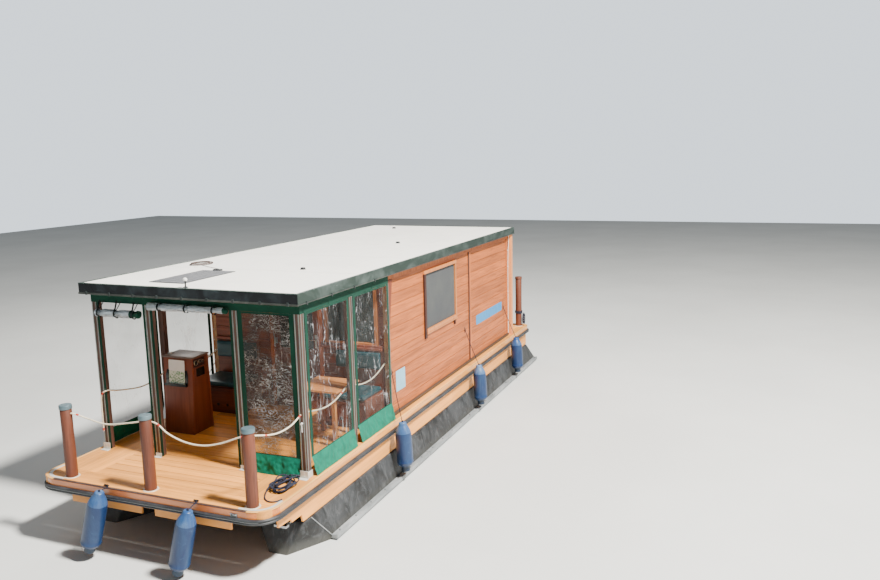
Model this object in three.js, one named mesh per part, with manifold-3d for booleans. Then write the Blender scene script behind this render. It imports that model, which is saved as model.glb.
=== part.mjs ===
// A cabin houseboat on two pontoons, as a three.js scene graph.
// Millimetres, +Z up. The bow points towards -Y and port is +X. Z = 0 is the pontoons' underside.
// Lengths along the boat are worked out from the terrace's front posts and moved to the middle at the end.
import * as THREE from 'three';
import { mergeVertices } from 'three/addons/utils/BufferGeometryUtils.js';
import { ConvexGeometry } from 'three/addons/geometries/ConvexGeometry.js';
import Module from 'manifold-3d';

const wasm = await Module();
wasm.setup();

// Driving dimensions
const DECK = 1320;              // top of the deck above the pontoons' underside
const HEADROOM = 2050;          // deck to the underside of the roof
const ROOF = DECK + HEADROOM;
const MIDSHIP = 4106.5;         // the middle of the whole length, measured aft from the terrace's front posts
const GAP = 0.3;                // running gap where two pieces would touch on a curve

const deck = { half: 1580, bow: -980, stern: 8680, thick: 100, board: 25, radius: 230 };
const edge = { out: 25, top: -8, bottom: -112 };
const strake = { out: 36, top: -84, bottom: -146 };
const borderDepth = 280;        // the border boards across the bow and the stern
const fascia = { x: 1573, thick: 27, top: -100, bottom: -410, aft: 8600 };

const cabin = { half: 1475, front: 2190, aft: 7620, wall: 60, batten: 5440 };
const roof = { half: 1575, front: -160, aft: 7810, thick: 122, flashing: 20, lip: 6 };
const post = { half: 40, x: 1470, inner: 635, side: 1120, beam: 120 };

const pontoon = { x: 1250, top: -340, shoulder: -411, flange: 500 };

const bollard = { radius: 66, cap: 72, bowPlaces: [-1190, -20, 1345], bowY: -872, bowTop: 876, sternX: 1440, sternY: 8520, sternTop: 1060 };

const windowPort = { from: 3480, to: 4795, low: 935, high: 1905 };
const windowFront = { from: 480, to: 1330, low: 1010, high: 1905 };
const door = { half: 370, low: 12, high: 1950, leaf: 40, gap: 5, lightLow: 900, lightHigh: 1820, stile: 90 };
const hinge = { radius: 9, length: 90, at: [250, 1000, 1700] };

const ropeRadius = 10;

// Materials
const paint = (color, roughness = 0.6, metalness = 0) =>
  new THREE.MeshStandardMaterial({ color, roughness, metalness });
const hullPlastic = paint('#3a3d40', 0.55);
const galvanised = paint('#8f9496', 0.45, 0.8);
const deckWood = paint('#e0ad7c', 0.7);
const edgeWood = paint('#cf7f55', 0.6);
const fasciaWood = paint('#eab57c', 0.6);
const claddingWood = paint('#b8734f', 0.6);
const postWood = paint('#5a4338', 0.65);
const bollardWood = paint('#8f5243', 0.6);
const consoleWood = paint('#6b3a28', 0.5);
const tableWood = paint('#dd9a62', 0.5);
const rubber = paint('#1d1f22', 0.7);
const flashing = paint('#5f7472', 0.5);
const membrane = paint('#ece9df', 0.8);
const panelGlass = paint('#2b3138', 0.2);
const frameWhite = paint('#efefec', 0.4);
const clearGlass = new THREE.MeshStandardMaterial({ color: '#9fb0b4', roughness: 0.05, transparent: true, opacity: 0.35 });
const canvas = paint('#1e6b57', 0.8);
const clearVinyl = new THREE.MeshStandardMaterial({ color: '#c9d2d2', roughness: 0.15, transparent: true, opacity: 0.4 });
const cushionCover = paint('#17414a', 0.6);
const fenderBlue = paint('#2f6aa8', 0.4);
const ropeCream = paint('#e7dcc4', 0.9);
const ropeNavy = paint('#1f2536', 0.9);
const cableWhite = paint('#e9e9e4', 0.5);
const motorGrey = paint('#2b2e33', 0.4);
const alloy = paint('#a9adb0', 0.35, 0.9);

// Solids: primitives and joins
const boat = new THREE.Group();

function add(name, geometry, material) {
  const mesh = new THREE.Mesh(geometry, material);
  mesh.name = name;
  boat.add(mesh);
  return mesh;
}

function box([x0, x1], [y0, y1], [z0, z1]) {
  const geometry = new THREE.BoxGeometry(x1 - x0, y1 - y0, z1 - z0);
  return geometry.translate((x0 + x1) / 2, (y0 + y1) / 2, (z0 + z1) / 2);
}

function outline(points) {
  return points instanceof THREE.Shape ? points : new THREE.Shape(points.map(([u, v]) => new THREE.Vector2(u, v)));
}

// An outline in (x, y), raised along Z
function slab(points, z0, z1, curveSegments = 8) {
  const geometry = new THREE.ExtrudeGeometry(outline(points), { depth: z1 - z0, bevelEnabled: false, curveSegments });
  return geometry.translate(0, 0, z0);
}

// An outline in (x, z), run along Y
function alongY(points, y0, y1, curveSegments = 8) {
  const geometry = new THREE.ExtrudeGeometry(outline(points), { depth: y1 - y0, bevelEnabled: false, curveSegments });
  return geometry.rotateX(Math.PI / 2).translate(0, y1, 0);
}

// An outline in (y, z), run along X
function alongX(points, x0, x1, curveSegments = 8) {
  const geometry = new THREE.ExtrudeGeometry(outline(points), { depth: x1 - x0, bevelEnabled: false, curveSegments });
  return geometry.rotateX(Math.PI / 2).rotateZ(Math.PI / 2).translate(x0, 0, 0);
}

// A turned piece from a profile of [radius, height] pairs that starts and ends on the axis
function turned(profile, segments = 20) {
  const geometry = new THREE.LatheGeometry(profile.map(([r, h]) => new THREE.Vector2(r, h)), segments);
  return geometry.rotateX(Math.PI / 2);
}

function rod(from, to, radius, sides = 12) {
  const start = new THREE.Vector3(...from);
  const way = new THREE.Vector3(...to).sub(start);
  const geometry = new THREE.CylinderGeometry(radius, radius, way.length(), sides);
  geometry.translate(0, way.length() / 2, 0);
  geometry.applyQuaternion(new THREE.Quaternion().setFromUnitVectors(new THREE.Vector3(0, 1, 0), way.clone().normalize()));
  return geometry.translate(...from);
}

// A tube of a round section along a smooth curve through the points
function tube(points, radius, steps, sides = 8) {
  const route = new THREE.CatmullRomCurve3(points.map((p) => new THREE.Vector3(...p)), false, 'centripetal');
  const ring = Array.from({ length: sides }, (_, i) => {
    const turn = (2 * Math.PI * i) / sides;
    return [radius * Math.cos(turn), radius * Math.sin(turn)];
  });
  return new THREE.ExtrudeGeometry(outline(ring), { steps, extrudePath: route, bevelEnabled: false });
}

function solid(geometry) {
  const bare = geometry.clone();
  for (const name of Object.keys(bare.attributes)) {
    if (name !== 'position') bare.deleteAttribute(name);
  }
  const merged = mergeVertices(bare, 1e-3);
  return new wasm.Manifold(new wasm.Mesh({
    numProp: 3,
    vertProperties: new Float32Array(merged.attributes.position.array),
    triVerts: new Uint32Array(merged.index.array),
  }));
}

function surface(manifold) {
  const mesh = manifold.getMesh();
  const geometry = new THREE.BufferGeometry();
  geometry.setAttribute('position', new THREE.BufferAttribute(mesh.vertProperties, 3));
  geometry.setIndex(new THREE.BufferAttribute(mesh.triVerts, 1));
  geometry.computeVertexNormals();
  return geometry;
}

const join = (...pieces) => surface(pieces.map(solid).reduce((a, b) => a.add(b)));
const cut = (piece, ...tools) => surface(tools.map(solid).reduce((a, b) => a.subtract(b), solid(piece)));
const rise = (z) => DECK + z;
const mirrored = (geometry) => {
  const flipped = geometry.clone().scale(-1, 1, 1);
  if (flipped.index) {
    flipped.setIndex(Array.from(flipped.index.array).reverse());
    return flipped;
  }
  const p = flipped.attributes.position.array;
  for (let i = 0; i < p.length; i += 9) {
    for (let k = 0; k < 3; k += 1) [p[i + k], p[i + 6 + k]] = [p[i + 6 + k], p[i + k]];
  }
  return flipped;
};

// Pontoons: faceted floats with a bolted flange along each side
function pontoonBody() {
  // each row: half width, height from the deck, forward end, aft end
  const rails = [
    [345, pontoon.shoulder, -150, 8550],
    [430, -770, 160, 8900],
    [350, -1150, 450, 8740],
    [220, -1320, 760, 8420],
  ];
  // each row: half width of the flat nose, height from the deck, how far forward
  const nose = [[305, -440, -262], [120, -820, -354], [90, -1130, -120]];
  // each row: where the two sides meet at the stern, on the pontoon's own centre line: y, height from the deck
  const stern = [[9120, -560], [9200, -800], [9060, -1120]];
  const points = rails.flatMap(([half, z, fore, aft]) => [-half, half].flatMap((x) => [
    new THREE.Vector3(pontoon.x + x, fore, rise(z)),
    new THREE.Vector3(pontoon.x + x, aft, rise(z)),
  ]));
  points.push(...nose.flatMap(([half, z, y]) => [-half, half].map((x) => new THREE.Vector3(pontoon.x + x, y, rise(z)))));
  points.push(...stern.map(([y, z]) => new THREE.Vector3(pontoon.x, y, rise(z))));
  const rim = box([pontoon.x - pontoon.flange, pontoon.x + pontoon.flange], [150, 8860], [rise(-800), rise(-745)]);
  const top = box([pontoon.x - 265, pontoon.x + 265], [-140, 8540], [rise(pontoon.shoulder) - 2, rise(pontoon.top)]);
  return join(new ConvexGeometry(points), top, rim);
}
const pontoonPort = pontoonBody();
add('pontoon_port', pontoonPort, hullPlastic);
add('pontoon_starboard', mirrored(pontoonPort), hullPlastic);

// Galvanised frame between the pontoons and the deck, with the motor's beam behind
function crossBeams() {
  const bearer = { inner: 1150, outer: 1350, fore: -420, bottom: pontoon.top, top: -deck.thick };
  const bearers = [-1, 1].map((side) => box(
    side < 0 ? [-bearer.outer, -bearer.inner] : [bearer.inner, bearer.outer], [bearer.fore, 9000], [rise(bearer.bottom), rise(-221)]));
  const rails = [-1, 1].map((side) => box(
    side < 0 ? [-bearer.outer, -bearer.inner] : [bearer.inner, bearer.outer], [bearer.fore, 8640], [rise(-222), rise(bearer.top)]));
  const beams = Array.from({ length: 10 }, (_, i) => {
    const y = Math.max(bearer.fore + 40, -640 + i * 1010);
    return box([-bearer.inner - 20, bearer.inner + 20], [y - 40, y + 40], [rise(-221), rise(bearer.top)]);
  });
  const transomTop = box([-bearer.inner - 20, bearer.inner + 20], [8940, 9000], [rise(-335), rise(-225)]);
  const transom = box([-420, 420], [8940, 9000], [rise(-600), rise(-330)]);
  return join(...bearers, ...rails, ...beams, transomTop, transom);
}
add('cross_beams', crossBeams(), galvanised);

// Deck, its edge board and the rubber strake, all round
function platform(out, radius) {
  const shape = new THREE.Shape();
  const half = deck.half + out;
  const bow = deck.bow - out;
  const stern = deck.stern + out;
  const bowRadius = radius + out;
  const sternRadius = 90 + out;
  shape.moveTo(-half, bow + bowRadius);
  shape.absarc(-half + bowRadius, bow + bowRadius, bowRadius, Math.PI, 1.5 * Math.PI, false);
  shape.absarc(half - bowRadius, bow + bowRadius, bowRadius, 1.5 * Math.PI, 2 * Math.PI, false);
  shape.absarc(half - sternRadius, stern - sternRadius, sternRadius, 0, 0.5 * Math.PI, false);
  shape.absarc(-half + sternRadius, stern - sternRadius, sternRadius, 0.5 * Math.PI, Math.PI, false);
  return shape;
}
const platformSlab = (out, low, high) => slab(platform(out, deck.radius), rise(low), rise(high));
const bowJoint = deck.bow + borderDepth;
const sternJoint = deck.stern - borderDepth;
const beyond = 4000;
add('deck', join(
  platformSlab(0, -deck.thick, -deck.board),
  box([-deck.half, deck.half], [bowJoint, sternJoint], [rise(-deck.board - 1), DECK]),
), deckWood);
add('deck_edge', cut(platformSlab(edge.out, edge.bottom, edge.top), platformSlab(GAP, edge.bottom - 1, edge.top + 1)), edgeWood);
add('rub_strake', cut(
  platformSlab(edge.out + strake.out, strake.bottom, strake.top),
  platformSlab(edge.out + GAP, strake.bottom - 1, strake.top + 1),
), rubber);

// Border boards across the bow and the stern, with the bollards that stand on them
function bollardPost(x, y, height) {
  const { radius, cap } = bollard;
  const profile = [[0, -12], [radius, -12], [radius, height - 62], [cap, height - 58], [cap, height - 14], [cap - 12, height], [0, height]];
  return turned(profile, 20).translate(x, y, DECK);
}
function borderBoard(keepFrom, keepTo, posts) {
  const board = cut(
    platformSlab(0, -deck.board, 0),
    box([-beyond, beyond], [-beyond, keepFrom], [0, 2 * DECK]),
    box([-beyond, beyond], [keepTo, 3 * beyond], [0, 2 * DECK]),
  );
  return join(board, ...posts.map(([x, y, height]) => bollardPost(x, y, height)));
}
const { bowPlaces, bowY, bowTop, sternX, sternY, sternTop } = bollard;
add('bow_board', borderBoard(-beyond, bowJoint, bowPlaces.map((x) => [x, bowY, bowTop])), bollardWood);
add('stern_board', borderBoard(sternJoint, beyond * 3, [[-sternX, sternY, sternTop], [sternX, sternY, sternTop]]), bollardWood);

// Lower fascia boards under the deck's edge, stepped at the bow
const sideFascia = alongX([
  [-755, fascia.top], [-755, -265], [-515, -275], [-500, -317], [-300, -319], [-280, fascia.bottom],
  [fascia.aft, fascia.bottom], [fascia.aft, fascia.top],
].map(([y, z]) => [y, rise(z)]), fascia.x - fascia.thick, fascia.x);
add('fascia_port', sideFascia, fasciaWood);
add('fascia_starboard', mirrored(sideFascia), fasciaWood);
add('fascia_bow', join(
  box([-1120, -90], [-965, -938], [rise(-262), rise(fascia.top)]),
  box([90, 1120], [-965, -938], [rise(-262), rise(fascia.top)]),
  box([-1120, 1120], [-939, -930.5], [rise(-200), rise(fascia.top)]),
), fasciaWood);
add('fascia_stern', box([-1150, 1150], [8500.5, 8528], [rise(-262), rise(fascia.top)]), fasciaWood);

// Cabin walls, as thick as the real panels, with their openings cut
const wallTop = ROOF;
const inside = cabin.half - cabin.wall;
function sideWall(opening) {
  const skin = box([inside, cabin.half], [cabin.front + cabin.wall, cabin.aft - cabin.wall], [DECK, wallTop]);
  const hole = box([inside - 50, cabin.half + 50], [opening.from, opening.to], [rise(opening.low), rise(opening.high)]);
  const batten = box([cabin.half - 1, cabin.half + 14], [cabin.batten - 22, cabin.batten + 22], [rise(70), wallTop - 10]);
  return join(cut(skin, hole), batten);
}
const portWall = sideWall(windowPort);
add('wall_port', portWall, claddingWood);
add('wall_starboard', mirrored(portWall), claddingWood);

const doorHole = (y) => box(
  [-door.half - door.gap, door.half + door.gap], [y - 50, y + cabin.wall + 50], [DECK - 1, rise(door.high + door.gap)]);
// fixed hinge barrels above and below each of the door's own
function fixedBarrels(x, y, outward) {
  return hinge.at.flatMap((z) => [-1, 1].map((way) => {
    const from = rise(z) + way * (hinge.length / 2 + GAP);
    const to = from + way * hinge.length * 0.6;
    const [low, high] = [Math.min(from, to), Math.max(from, to)];
    const plate = box([x - 34, x], outward < 0 ? [y, y + 12] : [y - 12, y], [low, high]);
    return join(rod([x, y, low], [x, y, high], hinge.radius), plate);
  }));
}
const frontHinge = { x: -door.half - door.gap / 2, y: cabin.front - hinge.radius };
const aftHinge = { x: -door.half - door.gap / 2, y: cabin.aft + hinge.radius };
const frontSkin = box([-cabin.half, cabin.half], [cabin.front, cabin.front + cabin.wall], [DECK, wallTop]);
const frontWindowHole = box(
  [windowFront.from, windowFront.to], [cabin.front - 50, cabin.front + cabin.wall + 50],
  [rise(windowFront.low), rise(windowFront.high)]);
add('wall_front', join(
  cut(frontSkin, doorHole(cabin.front), frontWindowHole),
  ...fixedBarrels(frontHinge.x, frontHinge.y, -1),
), claddingWood);
const aftSkin = box([-cabin.half, cabin.half], [cabin.aft - cabin.wall, cabin.aft], [DECK, wallTop]);
// Corner posts behind the wall, each held to it by a block under the roof
const aftPost = join(
  box([1460, 1550], [7668, 7758], [DECK, wallTop]),
  box([1400, 1474], [cabin.aft - 1, 7690], [rise(1930), wallTop]),
);
add('wall_aft', join(
  cut(aftSkin, doorHole(cabin.aft - cabin.wall)),
  aftPost,
  mirrored(aftPost),
  ...fixedBarrels(aftHinge.x, aftHinge.y, 1),
), claddingWood);

// Windows: a frame with the sash in it, and its pane
const frameWidth = 62;
const windowProud = 36;
function sideWindow() {
  const { from, to, low, high } = windowPort;
  const frame = box([inside + 8, cabin.half + windowProud], [from + GAP, to - GAP], [rise(low) + GAP, rise(high) - GAP]);
  const light = box([inside - 50, cabin.half + 50], [from + frameWidth, to - frameWidth], [rise(low + frameWidth), rise(high - frameWidth)]);
  return cut(frame, light);
}
function sidePane() {
  const { from, to, low, high } = windowPort;
  return box([cabin.half - 32, cabin.half - 12],
    [from + frameWidth + GAP, to - frameWidth - GAP], [rise(low + frameWidth) + GAP, rise(high - frameWidth) - GAP]);
}
add('window_port', sideWindow(), frameWhite);
add('window_port_glass', sidePane(), clearGlass);
add('window_starboard', mirrored(sideWindow()), frameWhite);
add('window_starboard_glass', mirrored(sidePane()), clearGlass);
add('window_front_glass', box(
  [windowFront.from + GAP, windowFront.to - GAP], [cabin.front + 20, cabin.front + 40],
  [rise(windowFront.low) + GAP, rise(windowFront.high) - GAP]), clearGlass);

// Doors: glazed leaves hung on barrels at the face of the wall
function doorLeaf(y0, axis, hasLight) {
  const leaf = box([-door.half, door.half], [y0, y0 + door.leaf], [rise(door.low), rise(door.high)]);
  const light = box([-door.half + door.stile, door.half - door.stile], [y0 - 20, y0 + door.leaf + 20],
    [rise(door.lightLow), rise(door.lightHigh)]);
  const barrels = hinge.at.flatMap((z) => {
    const span = [rise(z) - hinge.length / 2, rise(z) + hinge.length / 2];
    const plate = box([axis.x, axis.x + 30], axis.y < y0 ? [axis.y - 2, y0 + 2] : [y0 + door.leaf - 2, axis.y + 2], span);
    return [rod([axis.x, axis.y, span[0]], [axis.x, axis.y, span[1]], hinge.radius), plate];
  });
  return join(hasLight ? cut(leaf, light) : leaf, ...barrels);
}
add('front_door', doorLeaf(cabin.front, frontHinge, true), claddingWood);
add('front_door_glass', box(
  [-door.half + door.stile + GAP, door.half - door.stile - GAP], [cabin.front + 10, cabin.front + 30],
  [rise(door.lightLow) + GAP, rise(door.lightHigh) - GAP]), clearGlass);
add('aft_door', doorLeaf(cabin.aft - door.leaf, aftHinge, false), claddingWood);

// Roof: a flat slab in a folded metal edge
const roofInner = roof.half - roof.flashing;
const vents = [[568, 1561], [-805, 7204], [467, 4711]];
function roofSlab() {
  const slabBox = box([-roofInner, roofInner], [roof.front + roof.flashing, roof.aft - roof.flashing], [ROOF, ROOF + roof.thick]);
  const cowls = vents.map(([x, y]) => turned([[0, -5], [30, -5], [30, 12], [22, 24], [0, 24]], 16)
    .translate(x, y, ROOF + roof.thick));
  return join(slabBox, ...cowls);
}
add('roof', roofSlab(), membrane);
add('roof_flashing', cut(
  box([-roof.half, roof.half], [roof.front, roof.aft], [ROOF, ROOF + roof.thick + roof.lip]),
  box([-roofInner - GAP, roofInner + GAP], [roof.front + roof.flashing - GAP, roof.aft - roof.flashing + GAP],
    [ROOF - 1, ROOF + roof.thick + roof.lip + 1]),
), flashing);
const roofTop = ROOF + roof.thick;
add('solar_panel', box([-735, -210], [130, 1150], [roofTop, roofTop + 36]), panelGlass);
function mastLight() {
  const ball = turned([[0, 50], [16, 54], [26, 68], [30, 84], [26, 100], [16, 112], [0, 118]], 16);
  const stem = turned([[0, 0], [34, 0], [34, 8], [9, 12], [9, 56], [0, 56]], 16);
  return join(stem, ball).translate(10, -90, roofTop);
}
add('mast_light', mastLight(), frameWhite);

// Terrace frame: posts under a beam on three sides
const beamLow = wallTop - post.beam;
function frontFrame() {
  const out = post.x + post.half;
  const legs = [-post.x, -post.inner, post.inner, post.x];
  const shape = [[-out, wallTop], [-out, DECK]];
  legs.forEach((x, i) => {
    shape.push([x + post.half, DECK]);
    if (i < legs.length - 1) {
      shape.push([x + post.half, beamLow], [legs[i + 1] - post.half, beamLow], [legs[i + 1] - post.half, DECK]);
    }
  });
  shape.push([out, wallTop]);
  return alongY(shape, -post.half, post.half);
}
const sideFrame = alongX([
  [post.half, wallTop], [post.half, beamLow], [post.side - post.half, beamLow], [post.side - post.half, DECK],
  [post.side + post.half, DECK], [post.side + post.half, beamLow], [cabin.front, beamLow], [cabin.front, wallTop],
], post.x - post.half, post.x + post.half);
add('front_frame', frontFrame(), postWood);
add('port_frame', sideFrame, postWood);
add('starboard_frame', mirrored(sideFrame), postWood);

// Helm: a tapered column with a flat top, and its wheel
const helm = { x0: -1200, x1: -730, base: [725, 1135], top: [790, 1110], height: 1055 };
const helmColumn = alongX([
  [helm.base[0], DECK], [helm.base[1], DECK], [helm.top[1], rise(helm.height - 22)], [helm.top[0], rise(helm.height - 22)],
], helm.x0, helm.x1);
add('console', join(helmColumn,
  box([helm.x0 - 12, helm.x1 + 12], [helm.top[0] - 16, helm.top[1] + 14], [rise(helm.height - 24), rise(helm.height)])), consoleWood);
const wheel = { x: -965, z: 860, radius: 165, rim: 13, shaft: 70 };
const helmSlope = (helm.base[1] - helm.top[1]) / (helm.height - 22);
const helmFace = helm.base[1] - wheel.z * helmSlope;
function steeringWheel() {
  const rim = new THREE.TorusGeometry(wheel.radius - wheel.rim, wheel.rim, 8, 28).rotateX(Math.PI / 2);
  const hub = turned([[0, 0], [30, 0], [34, 14], [30, 26], [0, 26]], 16).rotateX(-Math.PI / 2).translate(0, -13, 0);
  const spokes = [0, 1, 2].map((i) => {
    const turn = Math.PI / 2 + (i * 2 * Math.PI) / 3;
    const reach = wheel.radius - wheel.rim;
    return rod([20 * Math.cos(turn), 0, 20 * Math.sin(turn)], [reach * Math.cos(turn), 0, reach * Math.sin(turn)], 7, 8);
  });
  const shaft = rod([0, -wheel.shaft, 0], [0, 0, 0], 14, 16);
  return join(rim, hub, shaft, ...spokes).rotateX(Math.atan(helmSlope))
    .translate(wheel.x, helmFace + wheel.shaft + 1, rise(wheel.z));
}
add('steering_wheel', steeringWheel(), motorGrey);

// Benches along the cabin's front wall, each with a seat pad and a back pad on one wooden carcase
const bench = { from: 650, to: 1400, front: 1580, seat: 395, pad: 80, backHigh: 985 };
const wallFace = cabin.front - GAP;
function benchCarcase() {
  const seatBox = box([bench.from, bench.to], [bench.front + 30, wallFace], [DECK, rise(bench.seat)]);
  const backBoard = box([bench.from, bench.to], [wallFace - 22, wallFace], [rise(bench.seat - 10), rise(bench.backHigh + 12)]);
  return join(seatBox, backBoard);
}
function benchPads() {
  const seat = box([bench.from + 4, bench.to - 4], [bench.front, wallFace - 24],
    [rise(bench.seat) + GAP, rise(bench.seat + bench.pad)]);
  const back = box([bench.from + 4, bench.to - 4], [wallFace - 84, wallFace - 22 - GAP],
    [rise(bench.seat + bench.pad - 6), rise(bench.backHigh)]);
  return join(seat, back);
}
add('bench_port', benchCarcase(), consoleWood);
add('bench_port_cushion', benchPads(), cushionCover);
add('bench_starboard', mirrored(benchCarcase()), consoleWood);
add('bench_starboard_cushion', mirrored(benchPads()), cushionCover);

// Table: a plank top on a pair of trestle legs
function tablePiece() {
  const top = box([760, 1380], [900, 1500], [rise(708), rise(740)]);
  const legs = [[810, 860], [1280, 1330]].map((x) => join(
    box(x, [930, 980], [DECK, rise(712)]),
    box(x, [1420, 1470], [DECK, rise(712)]),
    box(x, [930, 1470], [rise(640), rise(712)]),
  ));
  return join(top, ...legs);
}
add('table', tablePiece(), tableWood);

// Canvas: a band under the roof's edge with the two rolled curtains, and the closed curtains
const bandOut = 8;
function headerBand() {
  const outer = post.x + post.half + bandOut;
  const innerX = post.x + post.half + GAP;
  const front = -post.half - bandOut;
  const back = cabin.front - 12;
  const band = slab([
    [-outer, front], [outer, front], [outer, back], [innerX, back], [innerX, -post.half - GAP],
    [-innerX, -post.half - GAP], [-innerX, back], [-outer, back],
  ], beamLow - 6, ROOF - 3);
  const entranceRoll = rod([-590, -91, beamLow - 8], [590, -91, beamLow - 8], 46, 14);
  const hangers = [-400, 0, 400].map((x) => box([x - 14, x + 14], [-90, -post.half - 3], [beamLow - 31, beamLow + 33]));
  const sideRoll = rod([-1400, -94, rise(1804)], [-700, -94, rise(1804)], 48, 14);
  const straps = [-1330, -1060, -790].map((x) => box([x - 14, x + 14], [-54, -post.half - 3], [rise(1786), beamLow + 33]));
  const strapFeet = [-1330, -1060, -790].map((x) => box([x - 13, x + 13], [-96, -45], [rise(1787), rise(1826)]));
  return join(band, entranceRoll, ...hangers, sideRoll, ...straps, ...strapFeet);
}
add('canvas_band', headerBand(), canvas);
const curtainTop = beamLow - 8;
const curtainFace = post.x + post.half + GAP;
function sideCurtain(y0, y1) {
  return alongY([
    [curtainFace, curtainTop], [curtainFace, rise(235)], [1572, rise(6)], [1578, rise(6)],
    [curtainFace + 6, rise(237)], [curtainFace + 6, curtainTop],
  ], y0, y1);
}
const portCurtain = sideCurtain(-post.half, cabin.front - 12);
add('curtain_port', portCurtain, clearVinyl);
add('curtain_starboard', mirrored(portCurtain), clearVinyl);
add('curtain_front', box([post.inner - 30, post.x + 26], [-post.half - 6, -post.half - GAP], [rise(4), curtainTop]), clearVinyl);

// Fenders: an inflated cylinder with an eye, hung on its lanyard
const fender = { radius: 112, eye: 26 };
function fenderPiece([x, y, z], [hookX, hookY, hookZ], lean, l) {
  const { radius: r, eye } = fender;
  const body = turned([
    [0, -l], [eye, -l], [eye, -l + 40], [r * 0.72, -l + 66], [r, -l + 120], [r, -170], [r * 0.78, -92], [eye + 6, -48], [eye, 0], [0, 0],
  ], 16).rotateY(lean[0]).rotateX(lean[1]).translate(x, y, z);
  const cleat = Math.abs(hookX) > cabin.half
    ? box([hookX - 8, hookX + 8], [hookY - 12, hookY + 12], [hookZ - 26, hookZ + 26])
    : box([hookX - 24, hookX + 24], [hookY - 12, hookY + 12], [hookZ - 12.7, hookZ + 8]);
  return join(body, cleat, rod([x, y, z - 14], [hookX, hookY, hookZ], 6, 6));
}
const lanyardWall = cabin.half + 8 + GAP;
const fenders = [
  // name, eye, where the lanyard is made fast, lean, length
  ['bow_starboard', [-483, -1160, rise(25)], [-580, deck.bow + 14, rise(13)], [0.31, 0], 790],
  ['bow_centre', [732, -1160, rise(-12)], [680, deck.bow + 14, rise(13)], [0.27, 0], 790],
  ['port_forward', [1760, 1980, rise(40)], [lanyardWall, 2260, rise(640)], [-0.045, 0], 700],
  ['port_middle', [1760, 5100, rise(40)], [lanyardWall, 5180, rise(620)], [-0.045, 0], 700],
  ['port_aft', [1760, 7280, rise(40)], [lanyardWall, 7330, rise(620)], [-0.045, 0], 700],
  ['starboard_forward', [-1760, 1980, rise(40)], [-lanyardWall, 2260, rise(640)], [0.045, 0], 700],
  ['starboard_middle', [-1760, 5100, rise(40)], [-lanyardWall, 5180, rise(620)], [0.045, 0], 700],
  ['starboard_aft', [-1760, 7280, rise(40)], [-lanyardWall, 7330, rise(620)], [0.045, 0], 700],
];
for (const [name, eye, hook, lean, length] of fenders) add(`fender_${name}`, fenderPiece(eye, hook, lean, length), fenderBlue);

// Outboard motor: clamp on the motor's beam, swivel, motor with its leg, propeller
const beamAft = 9000;           // aft face of the motor's beam
const motor = { tiltY: 9040, tiltZ: -235, steerY: 9140, shaftZ: -1120, jaw: 74, plate: 22, jawTop: -210 };
function motorClamp() {
  const jaws = [-1, 1].map((side) => {
    const x = side < 0 ? [-motor.jaw - motor.plate, -motor.jaw] : [motor.jaw, motor.jaw + motor.plate];
    return join(
      box(x, [8915, 9070], [rise(-225) + GAP, rise(motor.jawTop)]),
      box(x, [beamAft + GAP, 9070], [rise(-480), rise(motor.jawTop)]),
      box(x, [8915, 8940 - GAP], [rise(-330), rise(motor.jawTop)]),
    );
  });
  return join(...jaws, box([-motor.jaw - 5, motor.jaw + 5], [beamAft + GAP, beamAft + 12], [rise(-475), rise(-435)]));
}
add('outboard_clamp', motorClamp(), alloy);
function motorSwivel() {
  const tube = motor.jaw - GAP;
  const tiltTube = rod([-tube, motor.tiltY, rise(motor.tiltZ)], [tube, motor.tiltY, rise(motor.tiltZ)], 20, 16);
  const hanger = box([-30, 30], [motor.tiltY - 15, motor.tiltY + 40], [rise(-420), rise(motor.tiltZ)]);
  const arm = box([-30, 30], [motor.tiltY + 20, motor.steerY], [rise(-420), rise(-350)]);
  const sleeve = rod([0, motor.steerY, rise(-570)], [0, motor.steerY, rise(-345)], 32, 20);
  return join(tiltTube, hanger, arm, sleeve);
}
add('outboard_swivel', motorSwivel(), alloy);
function motorBody() {
  const steer = motor.steerY;
  const plan = slab([[60, -60], [125, 40], [135, 150], [112, 300], [60, 345], [-60, 345], [-112, 300], [-135, 150],
    [-125, 40], [-60, -60]].map(([x, y]) => [x, steer + y]), rise(-160), rise(130));
  const side = alongX([[-60, -160], [335, -160], [345, -40], [290, 100], [20, 120], [-55, 20]]
    .map(([y, z]) => [steer + y, rise(z)]), -140, 140);
  const cowl = surface(solid(plan).intersect(solid(side)));
  const neck = alongX([[60, -155], [250, -155], [200, -620], [60, -620]].map(([y, z]) => [steer + y, rise(z)]), -55, 55);
  const leg = alongX([[55, -600], [200, -600], [180, -1080], [70, -1080]].map(([y, z]) => [steer + y, rise(z)]), -28, 28);
  const yokes = [[-345 + GAP, -300], [-615, -570 - GAP]].map(([low, high]) =>
    box([-26, 26], [steer - 26, steer + 90], [rise(low), rise(high)]));
  const plate = box([-75, 75], [steer + 40, steer + 300], [rise(-1000), rise(-990)]);
  const gearcase = rod([0, steer - 30, rise(motor.shaftZ)], [0, steer + 210, rise(motor.shaftZ)], 44, 16);
  const skeg = alongX([[40, -1150], [170, -1150], [190, -1265], [130, -1265]].map(([y, z]) => [steer + y, rise(z)]), -8, 8);
  return join(cowl, neck, leg, ...yokes, plate, gearcase, skeg);
}
add('outboard_motor', motorBody(), motorGrey);
function propeller() {
  const y0 = motor.steerY + 210 + GAP;
  const hub = rod([0, y0, rise(motor.shaftZ)], [0, y0 + 70, rise(motor.shaftZ)], 34, 16);
  const blades = [0, 1, 2].map((i) => {
    const blade = box([-34, 34], [-5, 5], [20, 112]).rotateZ(0.55);
    return blade.rotateY((i * 2 * Math.PI) / 3).translate(0, y0 + 36, rise(motor.shaftZ));
  });
  return join(hub, ...blades);
}
add('outboard_propeller', propeller(), alloy);

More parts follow.
